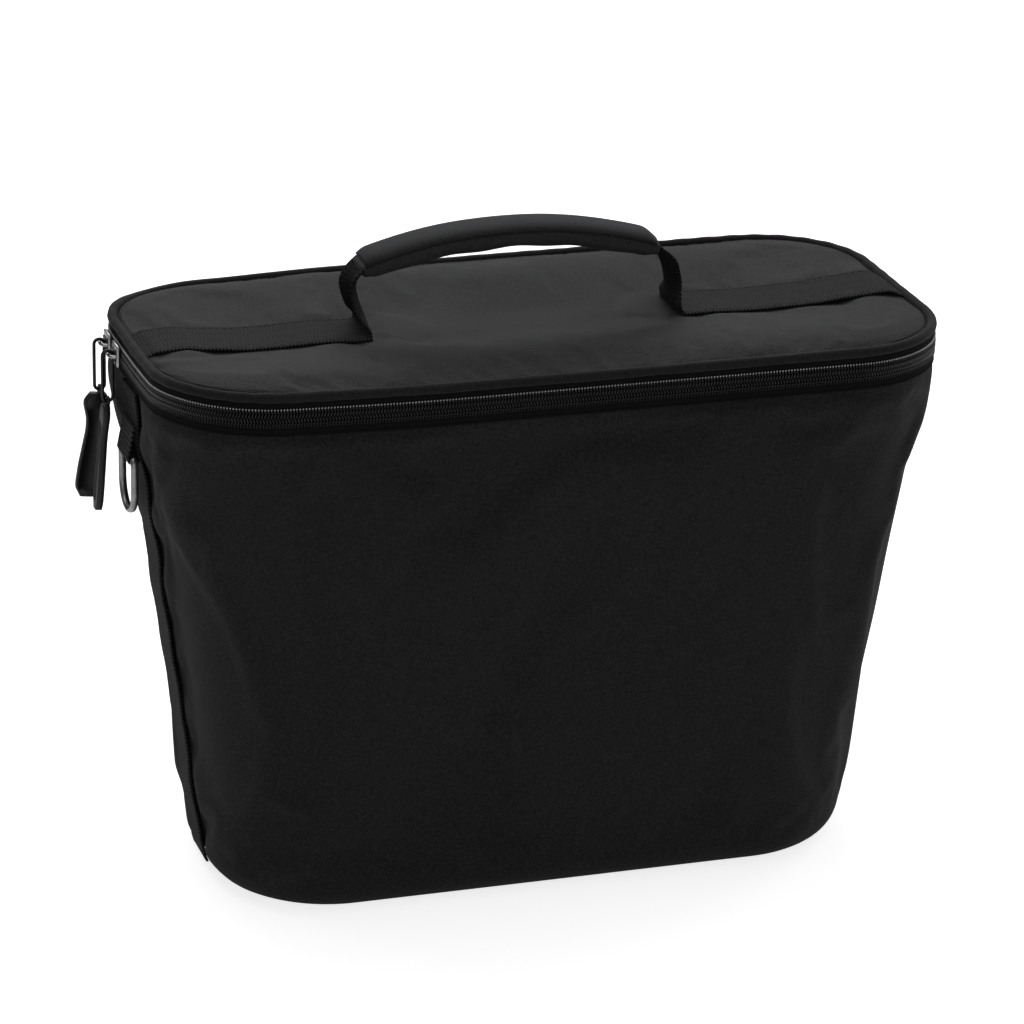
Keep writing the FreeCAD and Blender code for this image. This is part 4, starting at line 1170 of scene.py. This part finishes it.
def build_d_ring(word):
    """Bent flat-section ring: straight bar, rounded shoulders, half-round bow."""
    low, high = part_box(f"d_ring_{word}")
    half = (high.y - low.y) / 2 - D_RING_INSET
    top = high.z - D_RING_INSET
    x = (low.x + high.x) / 2
    spring = low.z + D_RING_INSET + half
    turn = np.linspace(0, math.pi, 28)
    bow = np.stack([half * np.cos(turn), spring - half * np.sin(turn)], -1)
    shoulder = 3.2 * MM
    arc = np.linspace(0, math.pi / 2, 7)
    left = np.stack([-half + shoulder * (1 - np.cos(arc)), top - shoulder * (1 - np.sin(arc))], -1)
    right = np.stack([half - shoulder * (1 - np.sin(arc)), top - shoulder * (1 - np.cos(arc))], -1)
    outline = np.concatenate([bow, left, right])
    path = np.stack([np.full(len(outline), x), outline[:, 0], outline[:, 1]], -1)
    ring = tube(f"d_ring_{word}_metal", path, 1.3 * MM, closed=True, sides=14)
    for vert in ring.data.vertices:
        vert.co.x = x + (vert.co.x - x) * 1.4
    assign(ring, "satin", f"{word}_dring_body", "ring_metal", f"d_ring_{word}")


build_ends()

# Sliders, pull rings and tabs ---


def rounded_plate(name, centre, size, bevel):
    """A box with generously rounded edges, its corners drawn in."""
    work = bmesh.new()
    bmesh.ops.create_cube(work, size=1.0)
    for vert in work.verts:
        vert.co = Vector(vert.co[k] * size[k] for k in range(3)) + Vector(centre)
    mesh = bpy.data.meshes.new(name)
    work.to_mesh(mesh)
    work.free()
    obj = add_object(name, mesh)
    modifier = obj.modifiers.new("bevel", "BEVEL")
    modifier.width = bevel
    modifier.segments = 3
    mesh.polygons.foreach_set("use_smooth", [True] * len(mesh.polygons))
    return obj


def build_slider(word):
    """Front and back plates, a raised block on the front one and the bow that holds the ring."""
    low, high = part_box(f"{word}_slider")
    middle = (low + high) / 2
    body = f"{word}_slider_body"
    face = low.x + 4.2 * MM
    plate = rounded_plate(f"{word}_slider_plate", (face + 0.75 * MM, middle.y, middle.z),
                          (1.7 * MM, 11 * MM, 10.4 * MM), 0.8 * MM)
    back = rounded_plate(f"{word}_slider_back", (high.x - 0.5 * MM, middle.y, middle.z),
                         (0.9 * MM, 9 * MM, 9.6 * MM), 0.4 * MM)
    nose = rounded_plate(f"{word}_slider_nose", (face - 0.3 * MM, middle.y, middle.z),
                         (1.0 * MM, 7.6 * MM, 5.4 * MM), 0.45 * MM)
    turn = np.linspace(0, math.pi, 20)
    bow = np.stack([face - 3.1 * MM * np.sin(turn) ** 0.6, middle.y - 4.2 * MM * np.cos(turn),
                    np.full_like(turn, middle.z)], -1)
    bar = tube(f"{word}_slider_bow", bow, 0.8 * MM, sides=10)
    for piece, look in ((plate, "nickel"), (back, "gunmetal"), (nose, "gunmetal"), (bar, "nickel")):
        assign(piece, look, body, "slider_metal")
    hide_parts(f"{word}_slider")


def build_pull_ring(word):
    """Long wire ring with round ends."""
    low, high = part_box(f"{word}_pull_ring")
    radius = 0.8 * MM
    reach = (high.x - low.x) / 2 - radius
    x, y = (low.x + high.x) / 2, (low.y + high.y) / 2
    top, bottom = high.z - radius - reach, low.z + radius + reach
    turn = np.linspace(0, math.pi, 14)
    path = np.concatenate([
        np.stack([x + reach * np.cos(turn), np.full_like(turn, y), top + reach * np.sin(turn)], -1),
        np.stack([x - reach * np.cos(turn), np.full_like(turn, y), bottom - reach * np.sin(turn)], -1)])
    ring = tube(f"{word}_pull_wire", path, radius, closed=True, sides=12)
    assign(ring, "gunmetal", f"{word}_ring_body", "wire_metal", f"{word}_pull_ring")


def tab_outline():
    """Half widths down the tab: eye end, shoulders, waist, then the long flared grip."""
    down = np.array([1.8, 3.0, 5.0, 8.5, 14.0, 20.0, 29.0, 38.0, 48.0, 51.5, 53.0]) * MM
    wide = np.array([2.8, 5.2, 6.6, 6.2, 4.2, 3.8, 4.7, 5.6, 6.0, 5.0, 2.4]) * MM
    at = np.linspace(down[0], down[-1], 46)
    return at, np.interp(at, down, wide)


def build_tab(word, twisted):
    """Moulded tab with a raised border and sunk faces; the front one is slim, to clear the D-ring."""
    low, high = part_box(f"{word}_pull_tab")
    ring_low, ring_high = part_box(f"{word}_pull_ring")
    hang = Vector(((ring_low.x + ring_high.x) / 2, (low.y + high.y) / 2, ring_low.z + 0.8 * MM))
    lean = math.radians(7.0 if twisted else 5.0)
    down, wide = tab_outline()
    wide = np.convolve(np.pad(wide, 2, mode="edge"), np.ones(5) / 5, "valid")
    wide = wide if twisted else wide * FRONT_TAB_SHARE
    half_thick = 1.7 * MM
    border = 1.25 * MM
    sink = 0.75 * MM
    # The rim from its side in to the sunk face: (inward step in mm, share of the half thickness)
    rim = [(0, 0.55), (0.35, 0.95), (0.8, 1.0), (border / MM, 0.92)]
    sunk_at = border / MM + 0.35
    section = [(-1, 0, -0.55)] + [(-1, step, level) for step, level in rim]
    section += [(-1, sunk_at, None), (0, 0, None), (1, sunk_at, None)]
    section += [(1, step, level) for step, level in reversed(rim)]
    section += [(1, step, -level) for step, level in rim] + [(1, sunk_at, "low"), (0, 0, "low")]
    section += [(-1, sunk_at, "low")] + [(-1, step, -level) for step, level in reversed(rim[1:])]
    open_share = smoothstep(8 * MM, 13 * MM, down) * (1 - smoothstep(47.5 * MM, 50 * MM, down))
    rows = []
    for k in range(len(down)):
        row = []
        for sign, step, level in section:
            across = sign * max(wide[k] - step * MM, 0.12 * wide[k]) if sign else 0.0
            sunk = half_thick - sink * open_share[k]
            if level is None:
                height = sunk
            elif level == "low":
                height = -sunk
            else:
                height = level * half_thick
            row.append((across, height, -down[k]))
        rows.append(row)
    across, through, down = np.moveaxis(np.array(rows), -1, 0)
    if twisted:
        points = np.stack([across - 0.6 * MM, through, down], -1)
    else:
        points = np.stack([through - 0.9 * MM, across, down], -1)
    rotation = np.array(Matrix.Rotation(lean, 3, "Y"))
    place = np.array(hang)
    moved = points @ rotation.T + place
    tab = grid_mesh(f"{word}_tab_moulding", moved, closed_u=True)
    cap_ends(tab, moved.shape[0], moved.shape[1])
    assign(tab, "tab", f"{word}_tab_body", "tab_plastic", f"{word}_pull_tab")
    turn = np.linspace(0, 2 * math.pi, 24, endpoint=False)
    eye_line = np.stack([0 * turn, 1.85 * MM * np.cos(turn), 1.85 * MM * np.sin(turn)], -1)
    eye = tube(f"{word}_tab_eye", eye_line @ rotation.T + place, 0.72 * MM, closed=True)
    assign(eye, "tab_dark", f"{word}_tab_body", "tab_plastic")


for slider in ("front", "rear"):
    build_slider(slider)
    build_pull_ring(slider)
build_tab("front", twisted=False)
build_tab("rear", twisted=True)

# The zip's end stops keep their CAD shape
for name in ("zip_stop_left", "zip_stop_right"):
    dress(frame["nodes"][name], "tab_dark")

# Settling: the soft bag's left end twists a little ---


def settle():
    """Raises the front and lowers the back of the left end, on soft pieces only."""
    kept = ("slider", "pull_wire", "tab_", "d_ring", "ring_loop", "zip_stop")
    for obj in list(bpy.context.scene.objects):
        if obj.type != "MESH" or obj.name in frame["nodes"] or any(word in obj.name for word in kept):
            continue
        count = len(obj.data.vertices)
        flat = np.zeros(count * 3, np.float32)
        obj.data.vertices.foreach_get("co", flat)
        points = flat.reshape(-1, 3)
        x, y, z = points[:, 0], points[:, 1], points[:, 2]
        near_left = smoothstep(60 * MM, 175 * MM, -x)
        high = smoothstep(120 * MM, 245 * MM, z)
        lift = 2.2 * MM * smoothstep(0.0, 70 * MM, -y) - 2.4 * MM * smoothstep(56 * MM, 88 * MM, y)
        points[:, 2] = z + near_left * high * lift
        obj.data.vertices.foreach_set("co", points.astype(np.float32).ravel())
        obj.data.update()


settle()

# Stage ---


def build_stage():
    """White paper floor, just below the base."""
    mesh = bpy.data.meshes.new("floor")
    reach = 8.0
    corners = [(-reach, -reach, 0), (reach, -reach, 0), (reach, reach, 0), (-reach, reach, 0)]
    mesh.from_pydata(corners, [], [(0, 1, 2, 3)])
    floor = add_object("floor", mesh)
    floor.location.z = -0.2 * MM
    tree, shader = start_material("paper", (0.86, 0.86, 0.86), 0.9)
    shader.inputs["Emission Color"].default_value = (1, 1, 1, 1)
    path = tree.nodes.new("ShaderNodeLightPath")
    glow = math_node(tree, "MULTIPLY_ADD", path.outputs["Is Camera Ray"], 0.62, 0.16)
    tree.links.new(glow, shader.inputs["Emission Strength"])
    coordinates = tree.nodes.new("ShaderNodeTexCoord")
    tint(tree, shader, (0.86, 0.86, 0.86), noise_value(tree, coordinates, 0.3), 0.99, 1.01)
    dress(floor, "paper")


def area_light(name, place, target, size, power, size_y=None):
    light = bpy.data.lights.new(name, "AREA")
    light.energy = power
    light.shape = "RECTANGLE"
    light.size = size
    light.size_y = size_y or size
    obj = add_object(name, light)
    obj.location = place
    obj.rotation_euler = (Vector(target) - Vector(place)).to_track_quat("-Z", "Y").to_euler()


def build_light():
    """White surroundings, dimmer on the left, and four soft boxes."""
    world = bpy.data.worlds.new("studio")
    bpy.context.scene.world = world
    world.use_nodes = True
    tree = world.node_tree
    background = tree.nodes["Background"]
    path = tree.nodes.new("ShaderNodeLightPath")
    direction = tree.nodes.new("ShaderNodeTexCoord")
    split = tree.nodes.new("ShaderNodeSeparateXYZ")
    tree.links.new(direction.outputs["Generated"], split.inputs[0])
    fill = math_node(tree, "MULTIPLY_ADD", split.outputs[0], 0.11, 0.19)
    strength = math_node(tree, "ADD", path.outputs["Is Camera Ray"], fill)
    tree.links.new(strength, background.inputs["Strength"])
    background.inputs["Color"].default_value = (1, 1, 1, 1)
    centre = (0, 0, 0.15)
    area_light("top_box", (-0.15, 0.35, 1.5), centre, 1.3, 7)
    area_light("back_box", (0.1, 1.5, 1.15), centre, 1.6, 6.5, 0.45)
    area_light("front_left", (-0.7, -1.7, 0.8), centre, 1.0, 2.3)
    area_light("back_right", (1.3, 0.7, 0.9), centre, 0.6, 2.5)


def build_camera():
    """Long lens from the front left, slightly above."""
    azimuth, elevation, roll = (math.radians(a) for a in (-17.8, 20.85, 1.166))
    distance = 2.28945
    aim_right, aim_up = -3.417 * MM, 153.227 * MM
    back = Vector((math.sin(azimuth) * math.cos(elevation), -math.cos(azimuth) * math.cos(elevation),
                   math.sin(elevation)))
    right = Vector((math.cos(azimuth), math.sin(azimuth), 0))
    up = back.cross(right)
    camera_data = bpy.data.cameras.new("camera")
    camera_data.sensor_width = 36
    camera_data.lens = 164.3537
    camera = add_object("camera", camera_data)
    turned_right = right * math.cos(roll) + up * math.sin(roll)
    turned_up = up * math.cos(roll) - right * math.sin(roll)
    place = back * distance + right * aim_right + up * aim_up
    camera.matrix_world = Matrix((
        (turned_right.x, turned_up.x, back.x, place.x),
        (turned_right.y, turned_up.y, back.y, place.y),
        (turned_right.z, turned_up.z, back.z, place.z),
        (0, 0, 0, 1)))
    bpy.context.scene.camera = camera


build_stage()
build_light()
build_camera()
bpy.context.scene.view_settings.view_transform = "Standard"
